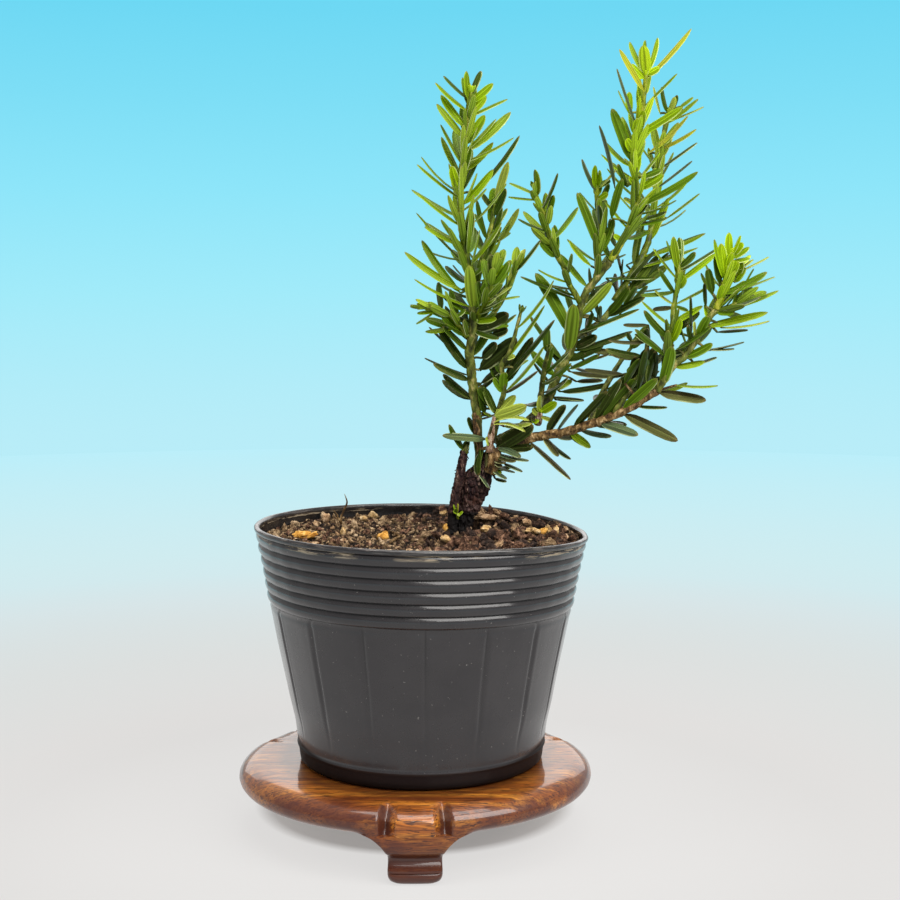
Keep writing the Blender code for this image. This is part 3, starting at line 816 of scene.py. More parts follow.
def rule_needles(line, frames, far, rule, rng):
    """Needles by the golden turn: (distance, step, root place, direction out, tip, face, width, bow, tint)."""
    total = far[-1]
    begin = total * rule.get("start", 0.0)
    travelled = begin
    turn = rng.uniform(0, 360)
    made = []
    while travelled <= total:
        index = max(step for step, reach in enumerate(far) if reach <= travelled + 1e-6)
        place, forward, side, across = frames[index]
        share = (travelled - begin) / max(1e-6, total - begin)
        turn += GOLDEN_TURN + rng.uniform(-16, 16)
        out = side * math.cos(math.radians(turn)) + across * math.sin(math.radians(turn))
        lean = math.radians(between(rule["leans"], share) + rng.uniform(-9, 9))
        way = forward * math.cos(lean) + out * math.sin(lean)
        length = between(rule["lengths"], share) * rng.uniform(0.8, 1.1)
        wobble = Vector((rng.uniform(-0.4, 0.4), rng.uniform(-0.4, 0.4), rng.uniform(-0.2, 0.2)))
        face = forward - out * 0.3 + wobble
        bow = forward * length * rng.uniform(-0.09, -0.02)
        tints = rule["tints"]
        step = share * (len(tints) - 1) + rng.uniform(-0.5, 0.5)
        tint = tints[min(len(tints) - 1, max(0, round(step)))]
        width = rule.get("width", 1.9) * rng.uniform(0.85, 1.1)
        made.append((travelled, index, place, out, way * length, face, width, bow, tint))
        travelled += rule["spacing"] * rng.uniform(0.7, 1.3)
    return made


def add_bud(heap, place, forward, size, tint, rng):
    """The closed needles round a shoot's tip."""
    side = forward.cross(Vector((0.3, 0.2, 0.9))).normalized()
    for number in range(BUD_NEEDLES):
        turn = Matrix.Rotation(math.radians(GOLDEN_TURN * number), 3, forward)
        out = turn @ side
        way = forward + out * (0.16 + 0.05 * number)
        root = place - forward * 0.4 * size + out * 0.2 * size
        tip = root + way * size * rng.uniform(1.3, 2.0)
        add_needle(heap, root, tip, forward - out, 0.75 * size, out * 0.15 * size, tint)


LIMBS = ("left", "middle", "right", "tall", "sprout")
needle_heaps = {limb + age: Heap() for limb in LIMBS for age in ("", "_young")}
shoot_heaps = {limb: Heap() for limb in LIMBS}
SHOOT_STEP = 0.4


def grow_shoot(name, region, path, radii, skin, rule=None, hidden=True, bud=None, view="middle", seen=()):
    """One shoot: its stem, the needles read off the photograph, and those that the rule adds."""
    rng = random.Random(name)
    stems = shoot_heaps[region.split("_")[0]]
    line = smooth_line(path, SHOOT_STEP)
    frames = frames_along(line)
    far = distances_along(line)
    needles = needle_heaps[region]
    cushions = []
    for row in seen:
        row_view = view
        if isinstance(row[0], str):
            row_view, row = row[0], row[1:]
        index, out = set_needle(needles, stems, line, frames, radii[-1], skin, row_view, row, rng)
        cushions.append((far[index], out))
    added = 0
    if rule:
        for travelled, index, place, out, reach, face, width, bow, tint in rule_needles(line, frames, far, rule, rng):
            cushions.append((travelled, out))
            towards_back = reach.normalized().y
            # old wood is bare towards the viewer
            if hidden and (FACING_SHARE if skin in ("green", "lime") else -1.0) < towards_back < AWAY_SHARE:
                continue
            if hidden and towards_back < AWAY_SHARE:
                # one that points at the viewer lies closer to its stem, and is slim
                pressed = (reach.normalized() + frames[index][1] * PRESSED).normalized()
                reach = pressed * reach.length * rng.uniform(0.6, 0.9)
                bow *= 0.5
                width *= 0.72
            root = place + out * between(radii, index / len(line)) * 0.6
            if in_opening(root, reach):
                continue
            add_needle(needles, root, root + reach, face, width, bow, tint)
            added += 1
    if bud:
        add_bud(needles, line[-1], frames[-1][1], bud[0], bud[1], rng)
    add_stem(stems, line, radii, skin, strip=0.14, grain=(0.45, 1.3), cushions=cushions)
    print(f"{name}: {len(seen)} needles read, {added} by rule")

# %% [markdown]
# The left shoot is the best seen. Its lower half is dark and crowded, its upper half is a thin
# yellow-green stem with long flat needles set all round it, and four side shoots leave it half way.

# %% Left shoot
grow_shoot(
    "left low",
    "left",
    [
        reading("foot", 556, 1080, 3.2), reading("foot", 550, 820, 3.0), reading("foot", 530, 600, 3.0),
        reading("foot", 512, 250, 3.4), (10.3, 2.4, 90.2), (9.8, 1, 96.2), (10.4, 0, 101), (10.2, 0, 108.1),
    ],
    (0.95, 0.88, 0.82, 0.72),
    "olive",
    rule={"start": 0.3, "spacing": 0.62, "lengths": (9, 11, 10), "leans": (72, 62, 55), "tints": ("dark", "dark", "deep", "deep")},
    seen=(
        (335, 700, 165, 618, 0.75, "dark"), (345, 800, 215, 670, 0.75, "dark"), (335, 655, 195, 440, 0.9, "dark", 1),
        (320, 555, 212, 430, 0.6, "deep", 2), ("gap", 150, 1120, 750, 610, 1.0, "black", 3, 2.9),
        ("gap", 190, 930, 430, 690, 0.9, "black", 2.6, 2.2), ("gap", 120, 450, 620, 215, 1.0, "black", 2, 2.6),
        ("gap", 170, 1340, 700, 930, 0.7, "black", 2.4), ("gap", 330, 565, 610, 475, 0.8, "black", 2, 2.2),
        ("gap", 215, 1376, 416, 1824, 0.8, "deep", 2, 1.9), (380, 460, 495, 495, 0.6, "deep", 3),
        (350, 345, 345, 125, -1, "olive", 4, 2.3), (375, 345, 440, 210, 0.9, "leaf", 3), (355, 330, 70, 195, 0.3, "olive"),
        (345, 375, 215, 285, 0.5, "leaf", 1), (345, 410, 255, 375, 0.6, "dark", 2), (335, 400, 375, 385, 0.8, "fresh"),
        (395, 400, 485, 395, 0.7, "fresh", 2), (425, 870, 400, 730, 0.8, "deep", 2), (470, 845, 385, 735, 0.7, "deep", 2),
        (375, 970, 342, 885, 0.6, "dark", -1), (410, 1000, 385, 890, 0.8, "brown", 1), (460, 880, 415, 860, 0.3, "olive"),
    ),
)
grow_shoot(
    "left spire",
    "left_young",
    [(10.2, 0, 108.1), (9.4, 0, 113.2), (8.6, 0, 117.2), (8.1, -1, 120.6), (7.9, -1, 127.6), (8.3, -2, 133.7), (8.9, -2, 138.9), (9.8, -2.6, 146.5)],
    (0.66, 0.6, 0.52, 0.4),
    "green",
    rule={"spacing": 0.62, "lengths": (11, 12, 11, 9, 5), "leans": (60, 55, 50, 42, 18), "tints": ("deep", "leaf", "olive", "olive", "leaf", "leaf")},
    bud=(1.0, "fresh"),
    view="spire",
    seen=(
        (400, 1380, 55, 1150, 0.7, "olive", 1), (395, 1400, 160, 1080, 0.8, "leaf", -1), (410, 1245, 125, 915, 0.25, "olive", -2),
        (400, 1120, 175, 1000, 0.55, "olive", 2), (375, 1005, 128, 792, 0.35, "olive", 1), (370, 835, 130, 625, 0.3, "olive"),
        (395, 620, 272, 385, 0.35, "olive", -1), (400, 470, 248, 262, 0.7, "olive", 1), (410, 400, 275, 208, 0.8, "fresh", -1),
        (425, 298, 240, 135, 0.4, "olive", 1), (400, 235, 290, 95, 0.3, "deep", -1), (455, 240, 428, 65, 0.65, "olive", 1),
        (478, 210, 515, 65, 0.7, "deep", -2), (465, 260, 590, 140, 0.75, "fresh", 1), (455, 345, 678, 235, 0.3, "olive", 2),
        (430, 505, 540, 330, 0.95, "fresh", 3), (450, 560, 695, 310, 0.85, "olive"), (440, 620, 715, 465, 0.25, "olive", 1),
        (425, 870, 590, 655, 0.8, "fresh", 2), (470, 800, 748, 452, 0.55, "deep", -2), (410, 780, 338, 635, 0.9, "tip", 3),
        (445, 690, 455, 520, 0.8, "leaf", 2), (425, 790, 495, 600, 0.6, "deep", -2), (450, 1120, 460, 900, 0.9, "leaf", 3),
        (465, 1230, 640, 975, 0.5, "olive", 1), (400, 1190, 340, 1085, 0.5, "leaf", 1), (480, 970, 670, 740, 0.2, "olive", 2),
        (465, 330, 548, 215, 1.0, "tip", -1),
    ),
)
side_rule = {"spacing": 0.6, "lengths": (7, 8.5, 7, 4), "leans": (62, 52, 38, 14), "tints": ("deep", "leaf", "leaf", "olive")}
grow_shoot(
    "left side",
    "left",
    [(9.4, 0.4, 98.9), (6.4, -1, 102.6), (3.8, -2, 104.0), (0.4, -3.4, 104.9)],
    (0.55, 0.45, 0.35),
    "green",
    rule=side_rule,
    bud=(0.8, "fresh"),
    seen=(
        (200, 350, 50, 325, 0.3, "leaf"), (190, 360, 85, 365, 0.4, "fresh"), (180, 370, 80, 420, 0.25, "olive"),
        (205, 345, 140, 310, 0.6, "fresh"), (215, 330, 190, 210, 0.7, "deep"), (195, 350, 125, 330, 0.6, "fresh"),
        (280, 440, 125, 458, 0.5, "olive"), (260, 390, 330, 350, 0.5, "leaf"), (320, 490, 205, 365, 0.9, "leaf", 2),
    ),
)
grow_shoot(
    "left front",
    "left",
    [(10.6, 0, 101.8), (13.2, -4, 106.8), (13.9, -5, 110.1), (15.2, -6, 114.2)],
    (0.55, 0.45, 0.35),
    "green",
    rule=side_rule,
    bud=(0.8, "leaf"),
    seen=(
        (490, 180, 520, 45, 0.8, "leaf"), (465, 190, 455, 70, 0.8, "dark", -1), (470, 180, 510, 120, 0.8, "fresh"),
        (480, 230, 545, 110, 0.7, "leaf"), (440, 320, 395, 205, 0.6, "deep"), (460, 330, 560, 230, 0.2, "pale"),
        (410, 370, 500, 300, 0.3, "fresh"), (430, 340, 480, 270, 0.7, "fresh"), (500, 300, 600, 283, 0.2, "olive"),
    ),
)
grow_shoot(
    "left outer",
    "left",
    [(10.8, 1, 100.5), (15.2, 0.6, 104.5), (18, -0.4, 110), (19.6, -1, 114)],
    (0.5, 0.42, 0.32),
    "green",
    rule=side_rule,
    seen=(
        (540, 240, 628, 45, 0.8, "pale"), (550, 140, 705, 0, 0.4, "deep"), (520, 330, 570, 190, 0.6, "leaf"),
        (490, 350, 545, 240, 0.7, "leaf"),
    ),
)
grow_shoot(
    "left back",
    "left",
    [(10.4, 2, 101), (11.3, 4, 109.2), (13.2, 6, 117.2), (14.4, 7, 121.8), (15.0, 7, 125.6)],
    (0.6, 0.5, 0.35),
    "green",
    rule={"start": 0.2, "spacing": 0.55, "lengths": (8, 9, 8, 5), "leans": (62, 52, 38, 12), "tints": ("deep", "leaf", "leaf")},
    bud=(0.8, "leaf"),
    view="spire",
    seen=(
        (545, 1080, 490, 840, 0.6, "deep"), (550, 880, 520, 800, 0.6, "dark"), (600, 940, 665, 770, 0.8, "deep"),
        (600, 860, 680, 610, 0.7, "pale", 1, 2.4), (620, 1090, 745, 890, 0.7, "pale"), (540, 1120, 640, 880, 0.7, "deep"),
        (470, 1230, 640, 1000, 0.5, "olive"),
    ),
)

# %% [markdown]
# The middle is older wood: short stems at the knob with grey, worn needles that arch down to the
# right, and on the thin pinkish stem a few pale young ones.

# %% Middle shoots and the knob
grow_shoot(
    "middle",
    "middle",
    [(14.4, 3.2, 77.6), (15.1, 2.4, 80.6), (15.6, 0.4, 84.6), (16.5, -1.6, 88.5), (16, -2.4, 93.4), (17.7, -3.6, 96.6), (19.6, -4.6, 104)],
    (0.6, 0.5, 0.45, 0.4, 0.3),
    "olive",
    rule={"start": 0.4, "spacing": 0.62, "lengths": (9, 10, 9, 6), "leans": (62, 50, 38, 14), "tints": ("dark", "deep", "deep")},
    bud=(0.8, "deep"),
    seen=(
        (530, 700, 775, 398, 0.55, "dark"), (530, 690, 665, 485, 0.9, "black", 1, 2.0), (520, 610, 725, 325, 0.45, "olive"), (545, 430, 770, 200, 0.35, "olive"),
        (550, 770, 690, 655, 0.4, "brown"), (540, 770, 725, 525, 0.4, "olive"), (515, 755, 465, 690, 0.7, "leaf", 2),
        (515, 760, 520, 660, 0.9, "leaf", 2), (580, 640, 640, 600, 0.2, "olive"), (530, 600, 575, 575, 0.6, "pale"),
    ),
)
grow_shoot(
    "tan middle stem",
    "middle_young",
    [reading("foot", 690, 800, 0.4), reading("foot", 706, 640, 0.2), reading("foot", 724, 490, 0), reading("foot", 758, 300, 0)],
    (0.72, 0.7, 0.66, 0.42, 0.34),
    "pink",
    view="foot",
    seen=(
        (790, 270, 1060, 5, 0.9, "pale", 1, 2.1), (800, 300, 1215, 150, 1.0, "pale", 3, 2.4), (800, 330, 1205, 200, 0.8, "deep", 1),
        (775, 395, 1255, 365, 0.3, "pale", 3, 2.0, 0.13), (775, 420, 1195, 520, 0.35, "pale", 3, 2.0, 0.12),
        (900, 440, 1290, 400, 0.5, "pale", 2), (740, 560, 730, 420, 0.4, "brown", 1), (690, 700, 640, 600, 0.4, "pale", 1),
    ),
)
grow_shoot(
    "sprig at the fork",
    "middle_young",
    [reading("foot", 1370, 400, 6), reading("foot", 1385, 320, 5), reading("foot", 1400, 240, 4.6)],
    (0.75, 0.7, 0.4),
    "pink",
    bud=(0.6, "tip"),
    view="foot",
    seen=(
        (1385, 220, 1400, 0, 0.6, "pale", 1), (1420, 240, 1640, 105, 0.9, "fresh", 1, 1.9), (1370, 270, 1295, 185, 0.9, "pale", 0.5, 1.6),
        (1360, 320, 1290, 390, 0.7, "fresh", 0.6), (1420, 290, 1650, 380, 0.5, "pale", 1), (1340, 330, 1275, 330, 0.6, "brown", 0.5),
    ),
)
grow_shoot(
    "knob",
    "middle",
    [reading("foot", 690, 1080, 1.8), reading("foot", 735, 950, 1.5), reading("foot", 768, 820, 1.3), reading("foot", 760, 740, 1.4)],
    (1.25, 1.35, 1.25, 0.8),
    "scaly",
    rule={"spacing": 0.6, "lengths": (5, 6, 5), "leans": (80, 75, 60), "tints": ("dark", "grey", "deep")},
    view="knob",
    seen=(
        (575, 415, 755, 465, 0.7, "grey", 2.6, 1.8, 0.05), (640, 440, 805, 485, 0.4, "grey"), (590, 450, 725, 490, 0.6, "brown", 2.4),
        (560, 470, 660, 500, 0.5, "brown", 2.4), (650, 500, 765, 552, 0.4, "grey"), (545, 520, 670, 595, 0.5, "grey", 2.2, 1.7),
        (540, 530, 640, 560, 0.5, "olive"), (600, 590, 670, 610, 0.4, "dark"), (620, 540, 720, 555, 0.25, "grey"),
        ("foot", 600, 770, 545, 1130, 0.8, "dark", 3, 1.7, 0.12), ("foot", 545, 1090, 690, 1310, 0.45, "grey", 2, 1.5),
        ("foot", 640, 790, 640, 1020, 0.7, "brown", 3.2, 0.8), ("foot", 700, 900, 860, 1010, 0.7, "brown", 2, 1.4),
        ("foot", 560, 760, 540, 1010, 0.3, "deep", 1),
        ("foot", 780, 690, 1310, 420, 1.0, "black", 1.5, 3.0), ("foot", 820, 745, 1310, 725, 0.95, "black", 1, 1.9), ("foot", 655, 618, 30, 568, 0.9, "grey", 3, 1.7, 0.0),
    ),
)
grow_shoot(
    "thin stem's tip",
    "left",
    [reading("foot", 345, 800, 1.6), reading("foot", 370, 730, 1.4), reading("foot", 385, 670, 1.6)],
    (0.66, 0.6, 0.3),
    "olive",
    view="knob",
    seen=(
        (405, 420, 322, 267, 0.6, "deep"), (425, 455, 432, 385, 0.8, "deep"), ("foot", 350, 790, 372, 640, 0.8, "dark", 0.6, 1.3),
        ("foot", 385, 790, 412, 650, 0.6, "dark", 0.6, 1.1),
    ),
)
grow_shoot(
    "left foot",
    "left",
    [
        reading("foot", 562, 1130, 3.0), reading("foot", 556, 900, 2.7), reading("foot", 545, 720, 2.6),
        reading("foot", 524, 500, 2.6), reading("foot", 512, 250, 3.2),
    ],
    (0.8, 0.8, 0.82, 0.9, 0.78),
    "scaly",
    view="foot",
    seen=((525, 900, 495, 660, 0.4, "dark", 0.6, 0.9), (470, 1200, 500, 1010, 0.7, "brown", 0.8, 1.5), (455, 1150, 430, 1050, 0.6, "brown", 0.8, 1.2)),
)
grow_shoot(
    "sprout",
    "sprout",
    [reading("photo", 458, 519, 1.0), reading("photo", 457.5, 515, 0.8), reading("photo", 457, 511, 0.8)],
    (0.22, 0.2, 0.12),
    "green",
    view="photo",
    seen=(
        (456.5, 514, 453.5, 504.5, 0.5, "olive", 0.5, 0.8), (457.5, 513, 458, 503.5, 0.4, "gold", 0.5, 0.6),
        (457.5, 514, 463, 511.5, 0.7, "fresh", 0.6, 0.8), (456.5, 514, 453, 511, 0.7, "olive", 0.6, 0.8),
        (457.5, 512.5, 459.5, 516.5, 0.8, "pale", 0.8, 0.6), (457, 513, 455.5, 508.5, 0.9, "deep", 0.8, 0.8),
    ),
)

# %% [markdown]
# The right bough leans out over the pot's edge. Brown, specked leaves hang under it. Dark, dense
# shoots stand on it, and its end turns up into the brightest tuft of the whole tree.

# %% Right bough
grow_shoot(
    "right bough",
    "right",
    [(15.6, 2.2, 76.6), (18.5, 2, 77.3), (22.7, 1, 78.8), (27.7, -1, 79.8), (32.3, -3, 81.3), (39.4, -6, 84.3), (45.8, -9, 88.6)],
    (1.0, 0.86, 0.8, 0.72, 0.66),
    "scaly",
    rule={"start": 0.2, "spacing": 0.7, "lengths": (7, 9, 11, 11), "leans": (75, 68, 60, 55), "tints": ("brown", "dark", "deep", "dark")},
    view="under",
    seen=(
        (0, 620, 245, 840, 0.5, "brown"), (80, 615, 170, 700, 0.7, "brown"), (240, 580, 365, 645, 0.8, "olive"),
        (430, 510, 650, 572, 0.9, "grey"), (300, 575, 490, 575, 0.6, "grey"), (560, 440, 888, 606, 0.9, "brown", 1, 2.4),
        (640, 410, 825, 405, 0.4, "dark"), (770, 320, 1058, 362, 0.85, "brown", 1, 2.3), (750, 335, 945, 255, 0.5, "olive"),
        (880, 270, 1130, 274, 0.25, "olive"), (250, 500, 465, 305, 0.8, "dark"), (100, 540, 215, 390, 0.9, "black"),
        (150, 520, 290, 385, 0.35, "grey"), (430, 455, 620, 245, 0.9, "deep"), (560, 420, 765, 230, 0.95, "leaf"),
        (380, 450, 545, 235, 0.9, "dark"), (650, 300, 700, 50, 0.7, "dark"), (700, 260, 760, 60, 0.7, "dark"),
        (570, 260, 660, 110, 0.7, "deep"),
    ),
)
grow_shoot(
    "right low",
    "right",
    [(45.8, -9, 88.6), (48.7, -10, 93.5), (51.3, -10, 95.8), (55.5, -10, 102.7), (57, -10, 104.3)],
    (0.62, 0.58, 0.52),
    "olive",
    rule={"spacing": 0.55, "lengths": (10, 11, 11), "leans": (62, 55, 48), "tints": ("dark", "deep", "leaf", "olive")},
    view="outer",
    seen=(
        (640, 1230, 755, 1000, 0.9, "leaf", 2), (900, 760, 1400, 515, 0.7, "leaf", 1), (1000, 760, 1490, 570, 0.15, "olive"),
        (900, 930, 1530, 720, 0.5, "olive", 1), (880, 900, 1330, 790, 0.3, "grey"), (780, 1160, 1410, 960, 0.8, "olive", 1),
        (900, 1130, 1430, 1055, 0.15, "pale"), (850, 1180, 1190, 1155, 0.3, "dark"), (400, 1370, 790, 1110, 0.4, "deep", 2),
        (500, 1430, 800, 1305, 0.8, "leaf", 2), (720, 1370, 1040, 1362, 0.15, "dark"), (430, 1595, 720, 1500, 0.7, "olive", 1),
        (600, 1540, 845, 1455, 0.3, "grey"), (860, 980, 1045, 960, 0.8, "leaf", 2), (800, 760, 745, 475, 0.85, "deep", 1),
        (880, 640, 835, 330, 0.8, "deep", 1), (720, 900, 710, 640, 0.4, "dark"), (700, 1010, 720, 870, 0.5, "fresh"),
        (530, 1290, 520, 1100, 0.5, "dark"), (600, 1230, 600, 1060, 0.3, "pale"),
    ),
)
grow_shoot(
    "right tip",
    "right_young",
    [(57, -10, 104.3), (57.9, -10, 107.3), (59, -9.6, 111.6), (60.0, -9, 115)],
    (0.7, 0.55, 0.4),
    "lime",
    rule={"spacing": 0.42, "lengths": (9, 8, 7, 4), "leans": (60, 50, 36, 14), "tints": ("olive", "fresh", "tip", "tip")},
    bud=(1.0, "tip"),
    view="outer",
    seen=(
        (980, 600, 890, 200, 0.95, "tip", 2, 2.1), (930, 600, 815, 155, 0.5, "fresh"), (1010, 360, 980, 80, 0.8, "tip", 1),
        (1050, 330, 1110, 115, 0.4, "tip"), (1050, 310, 1135, 195, 0.8, "tip", 1), (970, 610, 1085, 400, 0.9, "tip", 3),
        (1080, 390, 1205, 245, 0.6, "fresh"), (1080, 430, 1210, 370, 0.5, "fresh"), (1080, 500, 1250, 380, 0.25, "pale"),
        (1050, 630, 1165, 470, 0.7, "fresh", 1), (1080, 520, 1420, 350, 0.15, "pale"), (880, 820, 925, 650, 0.9, "fresh", 2),
        (960, 480, 1010, 300, 0.7, "tip", 2), (1070, 560, 1130, 400, 0.7, "olive", 1), (880, 700, 860, 520, 0.5, "fresh"),
    ),
)
grow_shoot(
    "right side tip",
    "right",
    [(56.8, -10, 103.9), (60.5, -10.6, 105.4), (64.0, -10.8, 107)],
    (0.5, 0.35),
    "green",
    rule=side_rule,
)
inner_rule = {"start": 0.1, "spacing": 0.45, "lengths": (9, 11, 11, 7), "leans": (56, 48, 42, 16), "tints": ("black", "dark", "dark", "deep")}
grow_shoot(
    "inner a",
    "right",
    [(33.5, -2.6, 82.2), (36.0, 1, 87.0), (39.5, 4.5, 92.5), (43, 6, 97)],
    (0.6, 0.5, 0.35),
    "olive",
    rule=inner_rule,
    hidden=False,
)
grow_shoot(
    "inner b",
    "right",
    [(38, -5.4, 84), reading("inner", 1150, 1450, -5.5), reading("inner", 1290, 1100, -5), reading("inner", 1340, 800, -4)],
    (0.6, 0.5, 0.35),
    "olive",
    rule=inner_rule,
    view="inner",
    seen=(
        (1330, 640, 930, 635, 0.4, "brown"), (1250, 900, 690, 890, 0.4, "brown", 1), (1210, 1130, 640, 1030, 0.8, "dark", 1),
        (1100, 1180, 730, 1110, 0.4, "brown"), (940, 1430, 310, 1345, 0.5, "brown"), (1390, 930, 1290, 690, 0.7, "dark"),
        (1000, 1560, 1130, 1140, 0.8, "black", 1), (1100, 1600, 1230, 1160, 0.8, "black", 1), (1200, 1590, 1340, 1000, 0.9, "black", 2),
        (1330, 1500, 1400, 1000, 0.9, "black", 1), (1440, 1500, 1450, 1050, 0.8, "black", 1), (950, 1600, 1110, 1500, 0.9, "leaf", 2),
        (1060, 900, 1000, 760, 0.5, "dark"), (1120, 800, 1560, 1060, 0.5, "deep", 1), (1290, 1560, 1290, 1180, 0.8, "deep", 3),
    ),
)
grow_shoot(
    "upright",
    "right",
    [(46.6, -9, 89.6), (48.6, -8, 99.6), (49.2, -6.6, 104.6), (50.2, -5.8, 110.8), (50, -5.4, 115)],
    (0.6, 0.5, 0.38),
    "green",
    rule={"start": 0.2, "spacing": 0.55, "lengths": (8, 9, 8, 5), "leans": (62, 50, 38, 14), "tints": ("deep", "leaf", "leaf", "olive")},
    bud=(0.9, "leaf"),
    view="outer",
    seen=(
        (440, 490, 365, 125, 0.8, "olive", 1), (465, 470, 430, 135, 0.6, "leaf"), (480, 470, 612, 300, 0.7, "deep"),
        (490, 500, 860, 255, 0.35, "deep"), (500, 640, 860, 300, 0.6, "fresh", 1), (395, 590, 140, 255, 0.2, "olive"),
        (385, 760, 200, 480, 0.5, "deep"), (360, 870, 160, 715, 0.25, "pale"), (360, 905, 140, 925, 0.5, "brown"),
        (340, 1110, 20, 840, 0.3, "olive"), (330, 1260, 40, 940, 0.75, "deep"), (440, 890, 860, 620, 0.3, "fresh"),
        (430, 1070, 690, 890, 0.6, "fresh", 1), (420, 1190, 650, 950, 0.8, "deep"), (440, 895, 530, 940, 0.4, "leaf"),
        (560, 1230, 555, 780, 0.3, "dark"), (345, 1290, 450, 1030, 0.9, "fresh", 2), (470, 690, 500, 560, 0.9, "fresh", 2),
        (340, 720, 0, 770, 0.5, "leaf"), (330, 1450, -60, 1150, 0.6, "deep"), ("right", 300, 880, 360, 680, 0.95, "leaf", 3, 2.4),
    ),
)
grow_shoot(
    "back right",
    "right",
    [(33.5, -3, 82.2), (38, 2, 87.8), (43.6, 5.4, 92.6)],
    (0.5, 0.4, 0.3),
    "olive",
    rule={"start": 0.1, "spacing": 0.5, "lengths": (8, 10, 6), "leans": (62, 50, 16), "tints": ("dark", "deep", "deep")},
    hidden=False,
)

# %% [markdown]
# The tall shoot leans right, then climbs to the highest needle. Lower down it is dark and open, so
# that the paper shows between its leaves. A fork, a leaning twig and a whole branch at the back
# belong to it too.

# %% Tall shoot
grow_shoot(
    "tall bough",
    "tall",
    [(15.2, 4.8, 77.6), (20.2, 7, 80.1), (25.5, 9, 85.1), (28.4, 10, 91.6), (31.1, 11, 96.7), (33.3, 11, 106.1), (36.2, 11, 110.8), (38.7, 10, 114.1)],
    (1.0, 0.86, 0.78, 0.7),
    "olive",
    rule={"start": 0.35, "spacing": 0.62, "lengths": (10, 11, 11), "leans": (68, 58, 52), "tints": ("dark", "deep", "deep", "leaf")},
    seen=(
        (850, 560, 870, 320, -1, "leaf", 4, 2.8), (855, 480, 676, 165, 0.9, "leaf", 1, 2.7, 0.03), (885, 537, 985, 478, 0.9, "black", 1, 2.2), (920, 380, 1060, 210, -0.95, "olive", 3),
        (940, 240, 800, 70, 0.7, "leaf"), (955, 130, 845, 0, 0.5, "olive"), (790, 590, 645, 375, 0.5, "deep"),
        (795, 620, 690, 440, 0.5, "deep"), (775, 680, 655, 555, 0.9, "leaf", 2), (740, 720, 665, 610, 0.35, "dark"),
        (800, 600, 730, 500, 0.7, "dark"), ("inner", 190, 780, 1195, 385, 0.5, "deep", 2),
        ("inner", 110, 1060, 1085, 740, 0.65, "dark", 2), ("inner", 100, 1250, 620, 960, 0.9, "dark", 1),
        ("inner", 60, 1350, 560, 1110, 0.6, "deep", 1), ("inner", 300, 1200, 755, 1085, 0.3, "brown"),
        ("inner", 345, 810, 385, 470, 0.6, "black"), ("inner", 560, 590, 560, 330, 0.35, "grey"),
        ("inner", 180, 1545, 610, 1530, 0.5, "brown", 1), (780, 800, 920, 803, 0.35, "dark"),
        (790, 760, 860, 700, 0.8, "olive"), (1000, 400, 1000, 330, 0.6, "dark"), (960, 360, 930, 450, 0.6, "dark"),
        ("under", 240, 190, 560, 215, 0.6, "brown"), ("under", 300, 50, 680, 105, 0.7, "brown"),
        ("under", 180, 310, 485, 262, 0.7, "dark"), ("under", 150, 350, 325, 362, 0.35, "dark"),
    ),
)
grow_shoot(
    "tall spire",
    "tall_young",
    [(38.7, 10, 114.1), (41.5, 10, 118.7), (43.5, 10, 124), (44.4, 10, 127.6), (43, 10, 133.8), (43.7, 10, 138.8), (44.9, 10, 144), (45.6, 10, 151.5)],
    (0.68, 0.55, 0.46, 0.42, 0.4),
    "lime",
    rule={"spacing": 0.5, "lengths": (10, 10, 9.5, 8.5, 6), "leans": (60, 54, 48, 36, 14), "tints": ("deep", "leaf", "fresh", "fresh", "tip", "tip")},
    bud=(1.0, "tip"),
    view="tall",
    seen=(
        (535, 330, 500, 150, -1, "tip", 3.5, 2.4), (470, 420, 355, 175, 0.6, "gold"), (485, 310, 418, 130, 0.6, "olive"),
        (550, 300, 585, 105, 0.6, "tip"), (510, 290, 512, 120, 0.5, "olive", -2), (545, 350, 790, 50, 0.55, "gold", 1),
        (490, 350, 425, 265, 0.7, "tip"), (545, 320, 600, 285, 0.8, "tip"), (530, 520, 705, 320, 0.3, "olive", 1),
        (430, 640, 340, 290, 0.3, "grey"), (420, 560, 415, 430, 0.8, "fresh", 1), (480, 690, 740, 520, 0.9, "fresh"),
        (500, 680, 505, 540, 0.9, "tip", 3), (460, 690, 460, 590, 0.8, "tip", 3), (390, 850, 310, 530, 0.95, "leaf", 1, 2.2),
        (440, 790, 395, 715, 0.8, "tip", 2), (330, 1010, 235, 630, 0.45, "grey"), (460, 1110, 385, 1065, 0.5, "pale"),
        (470, 985, 410, 945, 0.6, "fresh", 2), (400, 1000, 345, 865, 0.6, "deep"), (310, 1190, 375, 950, 0.9, "leaf"),
        (480, 1010, 625, 930, 0.8, "fresh"), (500, 940, 610, 900, 0.7, "leaf"), (440, 1190, 530, 1090, 0.7, "dark"),
        (500, 1130, 830, 910, 0.8, "leaf"), (455, 1215, 640, 1150, 0.4, "deep"), (380, 1330, 530, 1180, 0.25, "pale"),
        (370, 1310, 320, 1290, 0.6, "fresh"), (375, 1240, 270, 1090, 0.3, "fresh"),
    ),
)
